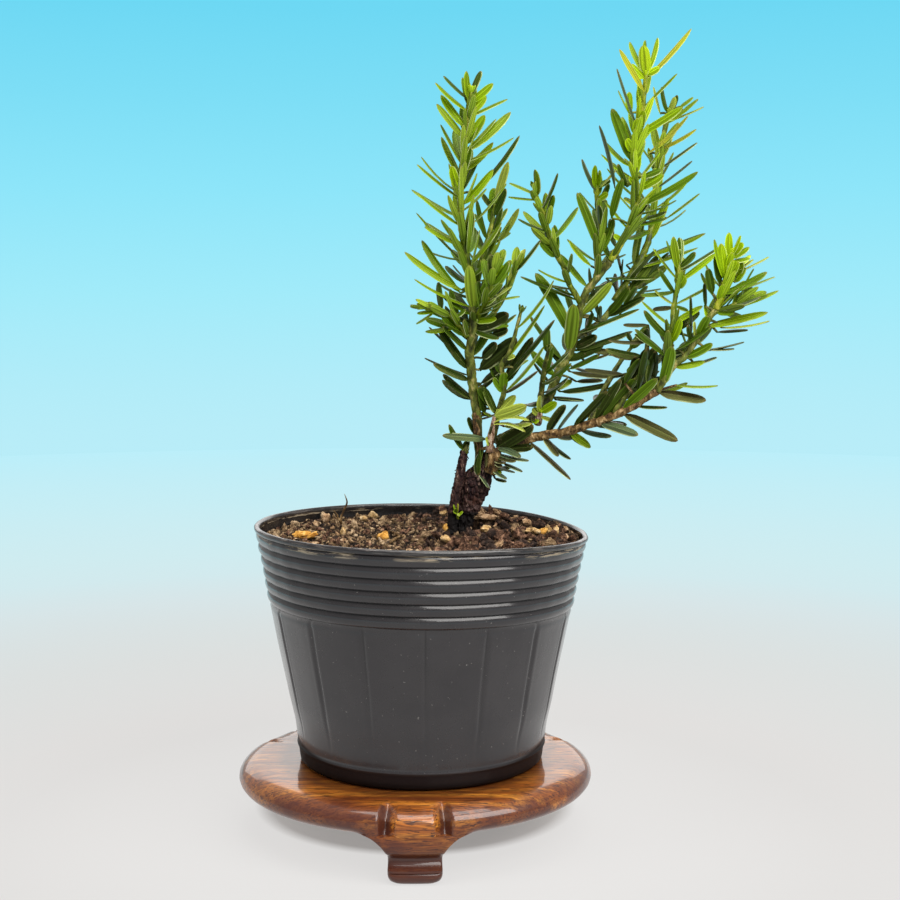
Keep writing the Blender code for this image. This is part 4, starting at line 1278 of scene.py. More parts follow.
grow_shoot(
    "fork",
    "tall",
    [(36.2, 11, 110.8), (36.4, 12, 114.9), (37.1, 13, 120.1), (36.4, 14, 125.4), (36.2, 14, 130.4)],
    (0.6, 0.5, 0.4),
    "lime",
    rule=side_rule,
    bud=(0.9, "fresh"),
    view="tall",
    seen=(
        (215, 1010, 210, 870, 0.7, "fresh"), (220, 1000, 240, 900, 0.5, "fresh"), (210, 1030, 130, 835, 0.45, "grey"),
        (245, 1370, 102, 1035, 0.9, "leaf", 1, 2.1, 0.02), (225, 1080, 290, 1040, 0.8, "fresh"), (230, 1010, 340, 890, 0.25, "pale"),
        (230, 1000, 300, 960, 0.7, "leaf"), (265, 1240, 235, 1110, 0.7, "deep"), (240, 1400, 320, 1190, 0.8, "leaf"),
    ),
)
grow_shoot(
    "back spire",
    "tall",
    [(40.3, 16, 106), (44.6, 17, 112.4), (47.3, 18, 117.6), (48.8, 20, 123.1), (49.7, 21, 131), (50.1, 21, 136.4), (52, 21, 145)],
    (0.7, 0.6, 0.42),
    "green",
    rule={"start": 0.1, "spacing": 0.62, "lengths": (10, 11, 11, 8, 5), "leans": (58, 52, 46, 36, 14), "tints": ("dark", "leaf", "olive", "olive", "olive")},
    bud=(0.9, "olive"),
    view="tall",
    seen=(
        (520, 1330, 650, 1065, 0.85, "olive"), (470, 1500, 500, 1200, 0.9, "deep"), (640, 780, 820, 655, 0.4, "gold"),
        (650, 620, 830, 475, 0.4, "olive"), (650, 610, 865, 520, 0.15, "pale"), (530, 800, 770, 575, 0.45, "gold"),
        (620, 900, 825, 735, 0.3, "deep"), (600, 1010, 795, 845, 0.25, "grey"), (640, 1190, 840, 1040, 0.25, "olive"),
        (500, 1420, 875, 1280, 0.5, "olive"), (450, 1490, 830, 1365, 0.3, "olive"), (640, 520, 610, 400, 0.5, "deep"),
        (670, 530, 705, 450, 0.6, "deep"), (660, 540, 690, 460, 0.7, "pale"), (600, 560, 560, 400, 0.3, "pale"),
        (720, 520, 800, 465, 0.4, "olive"), (740, 540, 830, 475, 0.4, "olive"),
    ),
)
grow_shoot(
    "leaning",
    "tall",
    [(33.2, 11, 105.1), (30.7, 10, 108.8), (29.2, 9, 112.6), (27.2, 8, 116), (25.7, 7, 119.2), (25.2, 6, 122.4), (23.7, 5, 125.1), (22.6, 3.6, 128.6)],
    (0.6, 0.5, 0.35),
    "green",
    rule={"start": 0.1, "spacing": 0.7, "lengths": (8, 8, 7, 4), "leans": (60, 52, 40, 12), "tints": ("deep", "leaf", "olive", "leaf")},
    bud=(0.8, "leaf"),
    seen=(
        ("spire", 850, 820, 840, 655, 0.7, "olive"), ("photo", 546, 207, 558, 173, 0.4, "deep"),
        ("photo", 550, 217, 554, 195, 0.7, "leaf"), ("photo", 530, 195, 509, 183, 0.3, "olive"),
        ("photo", 532, 202, 508, 197, 0.2, "olive"), ("photo", 540, 231, 518, 219, 0.25, "deep"),
        ("photo", 557, 240, 578, 207, 0.6, "leaf"), (880, 310, 600, 183, 0.4, "deep"),
        (830, 210, 690, 148, 0.2, "olive"), (780, 90, 700, 0, 0.9, "leaf"),
    ),
)
grow_shoot(
    "back branch",
    "tall",
    [(31.6, 11, 98.5), (37, 13, 101.5), (41.3, 16, 106), (47, 19, 110)],
    (0.7, 0.6, 0.4),
    "olive",
    rule={"start": 0.2, "spacing": 0.5, "lengths": (10, 11, 10, 6), "leans": (64, 52, 42, 14), "tints": ("dark", "dark", "deep")},
    hidden=False,
    view="inner",
    seen=(
        (656, 528, 1285, 190, 0.7, "dark", 1, 2.2), (740, 540, 1030, 30, 0.85, "deep", 2), (880, 470, 1160, 10, 0.6, "deep", 2), (1040, 320, 1320, 10, 0.6, "deep", 2),
        ("outer", -150, 440, 720, 90, 0.5, "deep", 1), ("outer", -200, 540, 640, 250, 0.3, "olive", 1),
        ("right", 30, 340, 280, 340, 0.3, "deep", 1), ("outer", 60, 560, 320, 300, 0.5, "deep", 1),
    ),
)
grow_shoot(
    "inner low",
    "tall",
    [(24.4, 8.4, 84), (24.7, 4.5, 90.8), (25.5, 1.4, 96.3)],
    (0.6, 0.5, 0.35),
    "olive",
    rule={"start": 0.15, "spacing": 0.62, "lengths": (7, 8, 5), "leans": (58, 46, 14), "tints": ("dark", "deep", "deep")},
    hidden=False,
    bud=(0.8, "deep"),
)

# %% Build the crown's pieces
NEEDLE_NODES = {
    "left": ["spire_left_low", "tuft_left_side", "tuft_left_front", "tuft_left_outer", "tuft_left_back", "leaves_left_low", "leaves_left_stem"],
    "left_young": ["spire_left_top"],
    "middle": ["tuft_middle", "leaves_node"],
    "middle_young": ["tuft_pale"],
    "right": ["mass_right_inner", "mass_right_low", "leaves_right_tip", "spire_upright", "tuft_right_back", "leaves_under_bough", "leaves_under_tip"],
    "right_young": ["mass_right_tip"],
    "tall": ["tuft_inner_low", "spire_tall_low", "spire_fork", "spire_leaning", "mass_back_branch", "spire_back"],
    "tall_young": ["spire_tall_top", "leaves_top"],
}
for region, heap in needle_heaps.items():
    if not heap.faces:
        continue
    needle_slot = "young_needles" if region.endswith("_young") else "needles"
    heap.build(f"needles_{region}", needle_materials, needle_slot, NEEDLE_NODES.get(region, []), sharp=70)
for limb, heap in shoot_heaps.items():
    heap.build(f"shoots_{limb}", skin_materials, "young_bark", [] if limb == "sprout" else [f"{limb}_bough"])

# %% [markdown]
# Old yew bark is nearly black, with a purple tinge, and it breaks into narrow, fibrous plates that
# lift at their lower ends. Voronoi cells, drawn out along the trunk, give every plate its own height
# and tone, with a crack between them. The same numbers move the mesh and colour the finish.

# %% Bark plates
PLATE = 0.72
PLATE_STRETCH = 3.0
CRACK_HALF = 0.13
BARK_STEP = 0.15


def bark_relief(place, plate):
    """How far the bark stands out, the tone of its plate, and 1 in a crack or 0 on a plate."""
    warp = noise.noise_vector(place / (plate * 1.9)) * 0.5
    seen = Vector((place.x / plate, place.y / plate, place.z / (plate * PLATE_STRETCH))) + warp
    distances, cells = noise.voronoi(seen)
    crack = math.exp(-(((distances[1] - distances[0]) / CRACK_HALF) ** 2))
    tone = 0.5 + 0.9 * noise.noise(cells[0] * 5.3)
    strand = Vector((place.x / 0.24, place.y / 0.24, place.z / 1.3))
    fine = noise.noise(strand) + noise.noise(place / 0.9) * 1.6
    lifted = max(-0.6, min(0.6, cells[0].z - seen.z))
    return plate * (0.44 * tone + 0.34 * lifted - 0.42 * crack + 0.18 * fine), tone, crack


def add_bark(heap, path, radii, sides, plate):
    """A stem covered in bark plates. Its marks hold each point's tone and crack for the finish."""
    line = smooth_line(path, BARK_STEP)
    points = []
    marks = []
    for index, (place, forward, side, across) in enumerate(frames_along(line)):
        radius = between(radii, index / (len(line) - 1))
        for number in range(sides):
            turn = 2 * math.pi * number / sides
            way = side * math.cos(turn) + across * math.sin(turn)
            out, tone, crack = bark_relief(place + way * radius, plate)
            points.append(spot(*(place + way * (radius + out))))
            marks.append((min(1.0, max(0.0, tone)), crack))
    faces = []
    for index in range(len(line) - 1):
        for number in range(sides):
            after = (number + 1) % sides
            low = index * sides
            faces.append((low + number, low + after, low + sides + after, low + sides + number))
    faces.append(tuple(reversed(range(sides))))
    faces.append(tuple((len(line) - 1) * sides + number for number in range(sides)))
    heap.add(points, faces, [("bark", True)] * len(faces), marks)
    return line


def add_flakes(heap, line, radii, count, plate, rng):
    """Loose plates that curl off the bark, each one a short broad blade."""
    frames = frames_along(line)
    for _ in range(count):
        index = rng.randrange(4, len(frames) - 4)
        place, forward, side, across = frames[index]
        turn = rng.uniform(0, 2 * math.pi)
        out = side * math.cos(turn) + across * math.sin(turn)
        radius = between(radii, index / (len(line) - 1))
        round_way = forward.cross(out)
        root = place + out * (radius + plate * 0.05)
        way = out * rng.uniform(0.25, 0.7) - forward * rng.uniform(0.5, 1.0) + round_way * rng.uniform(-0.6, 0.6)
        reach = way.normalized() * plate * rng.uniform(0.7, 1.3)
        add_needle(heap, root, root + reach, out, plate * rng.uniform(0.5, 0.9), out * rng.uniform(-0.2, 0.1), "bark")


bark = Finish("old bark", roughness=0.75, specular=0.25)
_, _, bark_height = bark.split()
plate_tone, in_crack, _ = bark.split("UV")
bark_streak = bark.noise(1.0, detail=4.0, roughness=0.65, vector=bark.stretched((1300, 1300, 260)), distortion=0.5)
bark_patch = bark.noise(330.0, detail=4.0)
bark_base = bark.ramp(
    bark_streak,
    [(0.34, (0.007, 0.002, 0.003)), (0.48, (0.034, 0.011, 0.009)), (0.58, (0.120, 0.060, 0.045)), (0.70, (0.480, 0.340, 0.260))],
)
warm_bark = bark.mix(bark.grade(bark_patch, 0.56, 0.68, 0.0, 0.5), bark_base, (0.110, 0.045, 0.030))
toned_bark = bark.mix(bark.grade(plate_tone, 0.2, 0.9, 0.6, 0.0), warm_bark, (0.014, 0.005, 0.007))
cracked_bark = bark.mix(bark.grade(in_crack, 0.3, 0.9, 0.0, 0.8), toned_bark, (0.004, 0.002, 0.002))
# a pale rim of old callus runs round the foot, and below it painted shade makes the stem black
callus = bark.maths("MULTIPLY", bark.grade(bark_height, 0.0637, 0.0641), bark.grade(bark_height, 0.0652, 0.0647))
callus = bark.maths("MULTIPLY", callus, bark.grade(bark_patch, 0.44, 0.56, 0.0, 0.5))
rimmed_bark = bark.mix(callus, cracked_bark, (0.170, 0.105, 0.095))
bark.colour(bark.mix(bark.grade(bark_height, 0.0632, 0.0638, 0.97, 0.0), rimmed_bark, (0.003, 0.002, 0.002)))
bark.bump(bark_streak, 0.0003, 0.9)
bark_materials = {("bark", True): bark.material, ("bark", False): bark.material}
print("bark ready")

# %% Trunk and thin stem
TRUNK_PATH = [
    (8.2, 4, 58.4), reading("foot", 385, 1640, 4), reading("foot", 408, 1560, 4), reading("foot", 436, 1450, 4),
    reading("foot", 474, 1300, 3.7), reading("foot", 556, 1140, 3.4), reading("foot", 650, 980, 3.1),
    reading("foot", 715, 830, 2.8), reading("foot", 735, 750, 2.6),
]
TRUNK_RADII = (1.6, 1.55, 1.6, 1.95, 2.4, 2.75, 2.85, 2.3, 1.8, 1.5, 0.8)
THIN_PATH = [
    (6.1, 2.1, 59.2), reading("foot", 210, 1480, 2.1), reading("foot", 262, 1210, 2.0), reading("foot", 304, 980, 1.8),
    reading("foot", 345, 780, 1.6),
]
THIN_RADII = (1.0, 0.95, 0.92, 0.85, 0.75)
trunk_rng = random.Random("trunk")
trunk_heap = Heap()
trunk_line = add_bark(trunk_heap, TRUNK_PATH, TRUNK_RADII, 110, PLATE)
add_flakes(trunk_heap, trunk_line, TRUNK_RADII, 90, PLATE, trunk_rng)
trunk_heap.build("trunk_bark", bark_materials, "bark", ["trunk"])
thin_heap = Heap()
thin_line = add_bark(thin_heap, THIN_PATH, THIN_RADII, 44, PLATE * 0.5)
add_flakes(thin_heap, thin_line, THIN_RADII, 26, PLATE * 0.6, trunk_rng)
thin_heap.build("thin_stem", bark_materials, "bark", ["left_stem"])

# %% [markdown]
# A nursery pot is blown from a thin sheet, so every rib, crease and roll is a change of the wall's
# radius. A lathe is the natural way: one outline is turned round the axis, and a small function
# then moves each point for what isn't round, such as the creases and the sagging rim.

# %% A lathe
def turn_outline(heap, outline, angles, finishes, reshape):
    """Turns (radius, height) points round the pot's axis, with a finish for each step of the outline."""
    count = len(outline)
    points = []
    marks = []
    for angle in angles:
        turn = math.radians(angle)
        for radius, height in outline:
            new_radius, new_height = reshape(radius, height, angle)
            points.append(spot(new_radius * math.cos(turn), new_radius * math.sin(turn), new_height))
            marks.append((angle / 360.0, height / 100.0))
    faces = []
    for column in range(len(angles)):
        left = column * count
        right = (column + 1) % len(angles) * count
        for low in range(count - 1):
            faces.append((left + low, right + low, right + low + 1, left + low + 1))
    heap.add(points, faces, finishes * len(angles), marks)


def between_points(table, value):
    """Straight-line reading of a table of (value, result) pairs."""
    for (low, first), (high, second) in zip(table, table[1:]):
        if value <= high:
            share = (value - low) / (high - low)
            return first + (second - first) * max(0.0, share)
    return table[-1][1]


def turned_from(angle, other):
    """How many degrees lie between two directions."""
    return abs((angle - other + 180.0) % 360.0 - 180.0)


print("lathe ready")

# %% [markdown]
# The wall's radius was read off the photograph's outline every few millimetres. The ribs are round
# rolls with a sharp groove between them, which is why each shows one bright line and one dark one;
# the dark line is deepened with painted shade.

# %% Pot
POT_FLOOR = 14.3
WALL = (
    (14.3, 24.0), (14.8, 24.5), (17.0, 24.8), (19.0, 25.05), (22.2, 25.5), (26.3, 26.5),
    (34.5, 28.05), (42.6, 29.6), (46.6, 30.45), (54.7, 31.9), (57.7, 32.5), (60.2, 32.9),
)
RIB_START = 46.2
RIB_PITCH = 2.35
RIB_COUNT = 6
RIB_HEIGHT = 0.55
RING_HEIGHT = 17.6
RING_OUT = 0.22
LIP_HEIGHT = 61.3
LIP_RADIUS = 0.58
LIP_OUT = 33.35
POT_WALL = 0.6
CREASE_COUNT = 16
CREASES = [-88.5 + 360.0 / CREASE_COUNT * number for number in range(CREASE_COUNT)]
CREASE_DEPTH = 0.28
CREASE_WIDTH = 0.7
FACET = 0.16
RIM_SAG = 1.2
RIM_SAG_ANGLE = 75.0
POT_LEAN = 0.016


def wall_radius(height):
    radius = between_points(WALL, height)
    radius += RING_OUT * math.exp(-(((height - RING_HEIGHT) / 0.30) ** 2))
    share = (height - RIB_START) / RIB_PITCH
    if 0.0 <= share <= RIB_COUNT:
        phase = share % 1.0
        # round below, and sloping back above, where the light from in front and above is caught
        rise = math.sqrt(math.sin(math.pi * phase)) if phase < 0.5 else 1.0 - (2.0 * phase - 1.0) ** 2
        radius += RIB_HEIGHT * (rise - 0.6)
    return radius


def pot_shape(radius, height, angle):
    """Creases, the slightly flat panels between them, dents, the lean and the sagging rim."""
    turn = (angle + 180.0) % 360.0 - 180.0
    near = min(turned_from(angle, crease) for crease in CREASES)
    smooth_wall = min(1.0, max(0.0, (45.8 - height) / 1.5)) * min(1.0, max(0.0, (height - 19.0) / 12.0))
    if radius > 20.0:
        radius -= CREASE_DEPTH * math.exp(-((near / CREASE_WIDTH) ** 2)) * smooth_wall
        radius += 0.07 * math.exp(-(((near - 1.7) / 0.8) ** 2)) * smooth_wall
        radius -= FACET * math.sin(math.pi * min(near, 11.0) / 22.0) ** 2 * smooth_wall
        facing = Vector((math.cos(math.radians(turn)), math.sin(math.radians(turn)), 0))
        dent = noise.noise(facing * 1.7 + Vector((0, 0, height / 16.0)))
        radius += 0.24 * dent * min(1.0, max(0.0, (height - 16.0) / 20.0))
        wave = noise.noise(facing * 9.0 + Vector((0, 3.0, height / 5.0)))
        radius += 0.11 * wave * min(1.0, max(0.0, (height - 46.0) / 4.0))
    rise = min(1.0, max(0.0, (height - POT_FLOOR - 2.0) / 6.0))
    near_rim = max(0.0, (height - POT_FLOOR) / 47.0) ** 3
    from_right = min(1.0, abs(turn) / RIM_SAG_ANGLE)
    sag = RIM_SAG * near_rim * (0.5 + 0.5 * math.cos(math.pi * from_right))
    return radius, height - POT_LEAN * radius * math.cos(math.radians(angle)) * rise - sag


pot_outline = [(0.0, POT_FLOOR), (22.8, POT_FLOOR)]
wall_heights = [14.3, 14.8, 15.6, 16.4, 16.9, 17.1, 17.3, 17.5, 17.6, 17.7, 17.9, 18.1, 18.4, 18.9, 19.8]
wall_heights += [19.8 + 0.94 * number for number in range(1, 28)]
RIB_PHASES = (0.0, 0.02, 0.06, 0.12, 0.20, 0.30, 0.41, 0.52, 0.63, 0.73, 0.82, 0.90, 0.95, 0.98)
for rib in range(RIB_COUNT):
    wall_heights += [RIB_START + RIB_PITCH * (rib + phase) for phase in RIB_PHASES]
for height in wall_heights:
    pot_outline.append((wall_radius(height), height))
lip_middle = LIP_OUT - LIP_RADIUS
for step in range(13):
    turn = math.radians(-75 + 255 * step / 12)
    rise = LIP_RADIUS * (math.sin(turn) - 1.0)
    pot_outline.append((lip_middle + LIP_RADIUS * math.cos(turn), LIP_HEIGHT + rise))
outer_steps = len(pot_outline)
for height in (60.0, 59.0, 57.0, 54.0, 48.0, 30.0, 15.3):
    pot_outline.append((between_points(WALL, height) - POT_WALL, height))
pot_outline.append((0.0, 15.3))
pot_finishes = ["plastic"] * outer_steps + ["inside"] * (len(pot_outline) - outer_steps - 1)

pot_angles = [step * 1.2 for step in range(300)]
for crease in CREASES:
    pot_angles = [angle for angle in pot_angles if turned_from(angle, crease) > 3.0]
for crease in CREASES:
    pot_angles += [(crease + offset) % 360 for offset in (-2.8, -1.8, -1.0, -0.5, 0, 0.5, 1.0, 1.8, 2.8)]
pot_heap = Heap()
turn_outline(pot_heap, pot_outline, sorted(pot_angles), pot_finishes, pot_shape)
print("pot outline points:", len(pot_outline))

# %% [markdown]
# The plastic is charcoal with a soft shine. Painted shade makes it nearly black in the grooves and the
# creases, and painted shadow with a painted reflection of the wood darkens its foot. Years of watering
# leave pale lime in streaks under the lip, and dust settles in specks. Each is a mask over the same
# dark colour.

# %% Pot finish
plastic = Finish("charcoal pot plastic", roughness=0.26, coat=0.5, coat_roughness=0.09, specular=0.4)
turn_share, level, _ = plastic.split("UV")
at_x, _, at_height = plastic.split()
cloud = plastic.noise(120.0, detail=5.0)
dark_plastic = plastic.ramp(cloud, [(0.3, (0.0150, 0.0130, 0.0150)), (0.7, (0.0235, 0.0205, 0.0225))])
speck = plastic.noise(1900.0, detail=1.0)
dusty = plastic.mix(plastic.grade(speck, 0.755, 0.78, 0.0, 0.4), dark_plastic, (0.30, 0.28, 0.26))
above_ribs = plastic.maths("SUBTRACT", level, RIB_START / 100)
from_groove = plastic.maths("PINGPONG", above_ribs, RIB_PITCH / 200)
in_ribs = plastic.grade(level, RIB_START / 100 - 0.002, RIB_START / 100)
# painted shade, nearly black, in the grooves between the ribs
groove_shade = plastic.maths("MULTIPLY", plastic.grade(from_groove, 0.0010, 0.0050, 0.85, 0.0), in_ribs)
groove_shaded = plastic.mix(groove_shade, dusty, (0.006, 0.005, 0.006))

# painted shadow and a painted reflection of the wood darken the foot, and reach up a little towards both sides
aside = plastic.maths("ABSOLUTE", plastic.maths("MULTIPLY", plastic.maths("SUBTRACT", at_x, AXIS_X), 38.0))
foot_top = plastic.maths("MULTIPLY", plastic.maths("POWER", aside, 5.0), 0.0030)
above_foot = plastic.maths("SUBTRACT", at_height, plastic.maths("ADD", foot_top, 0.0172))
in_foot = plastic.grade(above_foot, -0.0002, 0.0006, 1.0, 0.0)
foot_shadow_and_reflection = plastic.mix(plastic.grade(aside, 0.30, 0.75), (0.009, 0.005, 0.005), (0.005, 0.0015, 0.0012))
# painted shadow, nearly black, at the very bottom of the foot
foot_shadow_and_reflection = plastic.mix(plastic.grade(at_height, 0.0146, 0.0160, 0.8, 0.0), foot_shadow_and_reflection, (0.001, 0.0005, 0.0005))
foot_shaded = plastic.mix(plastic.maths("MULTIPLY", in_foot, 0.95), groove_shaded, foot_shadow_and_reflection)
# painted shade darkens a crease at its upper end and fades on the way down
from_crease = plastic.maths("PINGPONG", plastic.maths("SUBTRACT", turn_share, CREASES[0] / 360), 0.5 / CREASE_COUNT)
crease_shade = plastic.maths("MULTIPLY", plastic.grade(from_crease, 0.0004, 0.0013, 0.65, 0.0), plastic.grade(level, 0.30, 0.44))
crease_shade = plastic.maths("MULTIPLY", crease_shade, plastic.grade(level, RIB_START / 100, RIB_START / 100 - 0.002))
foot_shaded = plastic.mix(crease_shade, foot_shaded, (0.003, 0.002, 0.003))

drawn = plastic.node("ShaderNodeMapping", Scale=(42.0, 260.0, 1.0))
plastic.tree.links.new(plastic.coordinates.outputs["UV"], drawn.inputs["Vector"])
streaks = plastic.noise(1.0, detail=5.0, roughness=0.65, vector=drawn.outputs["Vector"], distortion=0.6)
long_patch = plastic.noise(1.0, detail=1.0, vector=plastic.stretched((26.0, 3.0, 1.0), "UV"))
under_lip = plastic.maths("MULTIPLY", plastic.grade(level, 0.590, 0.597), plastic.grade(level, 0.606, 0.602))
lime_share = plastic.maths("MULTIPLY", plastic.grade(streaks, 0.50, 0.60), plastic.grade(long_patch, 0.46, 0.56))
lime = plastic.maths("MULTIPLY", under_lip, lime_share)
limed = plastic.mix(plastic.maths("MULTIPLY", lime, 0.9), foot_shaded, (0.40, 0.32, 0.22))
on_lip = plastic.maths("MULTIPLY", plastic.grade(level, 0.604, 0.608), plastic.grade(streaks, 0.50, 0.66, 0.0, 0.5))
lip_dark = plastic.mix(plastic.grade(level, 0.6035, 0.6060, 0.0, 0.6), limed, (0.008, 0.007, 0.008))
plastic.colour(plastic.mix(on_lip, lip_dark, (0.20, 0.17, 0.15)))
plastic.rough(plastic.maths("ADD", plastic.grade(cloud, 0.3, 0.7, 0.20, 0.32), plastic.maths("MULTIPLY", in_foot, 0.35)))
plastic.feed(plastic.shader, "Coat Weight", plastic.grade(in_foot, 0.0, 1.0, 0.5, 0.1))
plastic.feed(plastic.shader, "Specular IOR Level", plastic.grade(in_foot, 0.0, 1.0, 0.4, 0.15))
plastic.bump(plastic.noise(1500.0, detail=2.0), 0.00003, 0.5)
plastic.bump(plastic.noise(150.0, detail=2.0), 0.0003, 0.25)

inside = Finish("inner wall of the pot", roughness=0.22, specular=0.5)
inner_cloud = inside.noise(200.0, detail=4.0)
inside.colour(inside.ramp(inner_cloud, [(0.35, (0.005, 0.005, 0.006)), (0.65, (0.016, 0.014, 0.014))]))
inside.bump(inner_cloud, 0.0004, 0.5)
pot_materials = {"plastic": plastic.material, "inside": inside.material}
pot_heap.build("nursery_pot", pot_materials, "pot_plastic", ["pot"])

# %% [markdown]
# Potting soil is crumbs of many sizes. The bed is a crust of lumps packed side by side, made from
# the distance to the nearest of many strewn points, and grains lie on it as real small meshes. At
# this scale their shadows are what makes it look like soil. It is fine and pale on the left, and on
# the right it is coarse and dark and rises behind the trunk.

# %% Soil bed
SOIL_EDGE_RADIUS = 31.9
SOIL_LEVEL = 58.6
FOOT = (9.1, 4.0)
# x, y, reach and rise of each heap and hollow in millimetres
MOUNDS = ((9.5, 4.5, 13.0, 1.5), (14.6, 3.5, 5.0, 1.8), (20.5, 1.0, 6.0, 0.9), (-6.0, 7.0, 9.0, 0.9))
HOLLOWS = ((7.9, 0.2, 2.7, 3.5), (9.4, 0.4, 2.3, 3.2), (24.5, 17.0, 6.0, 2.4))
SHADE_REACH = 3.4
BED_STEP = 0.36
BED_SPOKES = 440


def packed_lumps(x, y, size):
    """Round tops with gaps between them, from none to one."""
    away = noise.voronoi(Vector((x / size, y / size, 0.5 + size)))[0][0]
    return max(0.0, 1.0 - (away / 0.62) ** 2)


def lump_tops(x, y):
    """The crust of lumps: large ones on the right, and small ones all over."""
    coarse = min(1.0, max(0.0, (x + 2.0) / 9.0))
    return packed_lumps(x, y, 2.3) * (0.40 + 1.05 * coarse) + packed_lumps(x, y, 0.9) * 0.40


def soil_height(x, y, lumpy=True):
    """The bed's height, with its heaps, its hollows and the pot's lean."""
    height = SOIL_LEVEL - POT_LEAN * x
    for centre_x, centre_y, reach, rise in MOUNDS:
        height += rise * math.exp(-((math.hypot(x - centre_x, y - centre_y) / reach) ** 2))
    for centre_x, centre_y, reach, drop in HOLLOWS:
        height -= drop * math.exp(-((math.hypot(x - centre_x, y - centre_y) / reach) ** 2))
    height += noise.noise(Vector((x / 3.5, y / 3.5, 0.3))) * 0.6
    if lumpy:
        height += lump_tops(x, y)
        height += noise.noise(Vector((x / 0.35, y / 0.35, 5.0))) * 0.10 - 0.3
    return height


bed_heap = Heap()
bed_rings = int(SOIL_EDGE_RADIUS / BED_STEP)
bed_points = [spot(0, 0, soil_height(0, 0))]
bed_marks = [(0.5, 0.5)]
for ring in range(1, bed_rings + 1):
    radius = SOIL_EDGE_RADIUS * ring / bed_rings
    for number in range(BED_SPOKES):
        turn = 2 * math.pi * number / BED_SPOKES
        x, y = radius * math.cos(turn), radius * math.sin(turn)
        drop = 1.6 if ring == bed_rings else 0.0
        bed_points.append(spot(x, y, soil_height(x, y) - drop))
        # the mark is how high the lumps stand, for the painted shade in their gaps
        bed_marks.append((min(1.0, lump_tops(x, y)), 0.5))
bed_faces = [(0, 1 + number, 1 + (number + 1) % BED_SPOKES) for number in range(BED_SPOKES)]
for ring in range(bed_rings - 1):
    for number in range(BED_SPOKES):
        low = 1 + ring * BED_SPOKES
        after = (number + 1) % BED_SPOKES
        bed_faces.append((low + number, low + BED_SPOKES + number, low + BED_SPOKES + after, low + after))
bed_finishes = []
for face in bed_faces:
    place = bed_points[face[0]] / MM - Vector((AXIS_X / MM, 0, 0))
    # faces by the hollows get the painted shade finish, nearly black
    hollow_gap = min(math.hypot(place.x - hollow[0], place.y - hollow[1]) - min(hollow[2], SHADE_REACH) for hollow in HOLLOWS)
    bed_finishes.append("shade" if hollow_gap < 0.3 else "bed")
bed_heap.add(bed_points, bed_faces, bed_finishes, bed_marks)
print("bed faces:", len(bed_faces))

# %% [markdown]
# Grains are a few broken, lumpy balls, each strewn many times with its own size, turn and stretch.
# The stones are the ones that show in the photograph: a line from the camera through each reading
# meets the soil where that stone lies.

# %% Soil grains
def grain_shapes(subdivisions, kinds, roughness, seed):
    """A few lumpy balls to strew, as lists of points and faces."""
    shapes = []
    for kind in range(kinds):
        ball = bmesh.new()
        bmesh.ops.create_icosphere(ball, subdivisions=subdivisions, radius=1.0)
        points = []
        for vertex in ball.verts:
            place = vertex.co.copy()
            lump = noise.noise(place * 1.1 + Vector((seed + kind * 7.0, 0, 0)))
            fine = noise.noise(place * 2.6 + Vector((0, seed + kind * 5.0, 0)))
            points.append(place * (1.0 + roughness * lump + roughness * 0.7 * fine))
        faces = [[vertex.index for vertex in face.verts] for face in ball.faces]
        ball.free()
        shapes.append((points, faces))
    return shapes


def strew(heap, shapes, place, size, finish):
    points, faces = soil_rng.choice(shapes)
    turn = soil_rng.uniform(0, 2 * math.pi)
    tip = soil_rng.uniform(0, math.pi)
    flat = soil_rng.uniform(0.5, 0.9)
    long = soil_rng.uniform(0.85, 1.6)
    made = []
    marks = []
    for point in points:
        x, y, z = point.x * long, point.y, point.z * flat
        x, z = x * math.cos(tip) - z * math.sin(tip), x * math.sin(tip) + z * math.cos(tip)
        x, y = x * math.cos(turn) - y * math.sin(turn), x * math.sin(turn) + y * math.cos(turn)
        made.append(spot(place[0] + x * size, place[1] + y * size, place[2] + z * size))
        # the mark is the height within the grain, for the painted shade on its underside
        marks.append((min(1.0, max(0.0, 0.5 + z)), 0.5))
    heap.add(made, faces, [finish] * len(faces), marks)


def on_soil(x, y):
    """The place on the soil that shows at a pixel of the photograph."""
    ray = AHEAD * PICTURE_FOCUS + TO_RIGHT * (x - PICTURE_HALF) + UPWARDS * (PICTURE_HALF - y)
    for step in range(SIGHT_STEPS):
        place = EYE + ray * ((SIGHT_STEP * step - SOIL_EDGE_RADIUS - EYE.y) / ray.y)
        if place.z <= soil_height(place.x, place.y):
            break
    return place


# x and y in the photograph, and the size of each stone in millimetres
STONES = (
    (295, 523, 0.9, "pale"), (303, 539, 1.6, "stone"), (311, 538, 0.9, "stone"), (373, 516, 1.1, "sand"), (364, 520, 0.8, "sand"),
    (383, 539, 1.2, "stone"), (343, 535, 0.8, "sand"), (449, 532, 1.15, "stone"), (446, 541, 0.8, "sand"), (443, 516, 1.0, "sand"),
    (478, 519, 1.1, "tan"), (483, 514, 1.7, "tan"), (488, 520, 1.3, "tan"), (477, 512, 1.0, "tan"), (487, 532, 1.25, "sand"), (469, 533, 0.8, "tan"),
    (527, 525, 1.1, "tan"), (515, 534, 0.9, "tan"), (530, 533, 1.0, "sand"), (536, 534, 1.1, "sand"), (542, 534, 1.0, "stone"),
    (548, 533, 0.9, "sand"), (556, 534, 0.8, "sand"), (498, 510, 1.2, "tan"), (490, 511, 1.1, "pellet"), (505, 514, 1.1, "pellet"),
    (475, 514, 0.9, "tan"), (497, 548, 0.9, "tan"), (552, 546, 0.9, "crumb"), (560, 540, 1.0, "pellet"), (326, 522, 1.0, "tan"),
)
STONE_EDGE = 30.2
SIGHT_STEP = 0.2
SIGHT_STEPS = 310
DUST_GRAINS = 2200
FINE_GRAINS = 1700
COARSE_GRAINS = 900
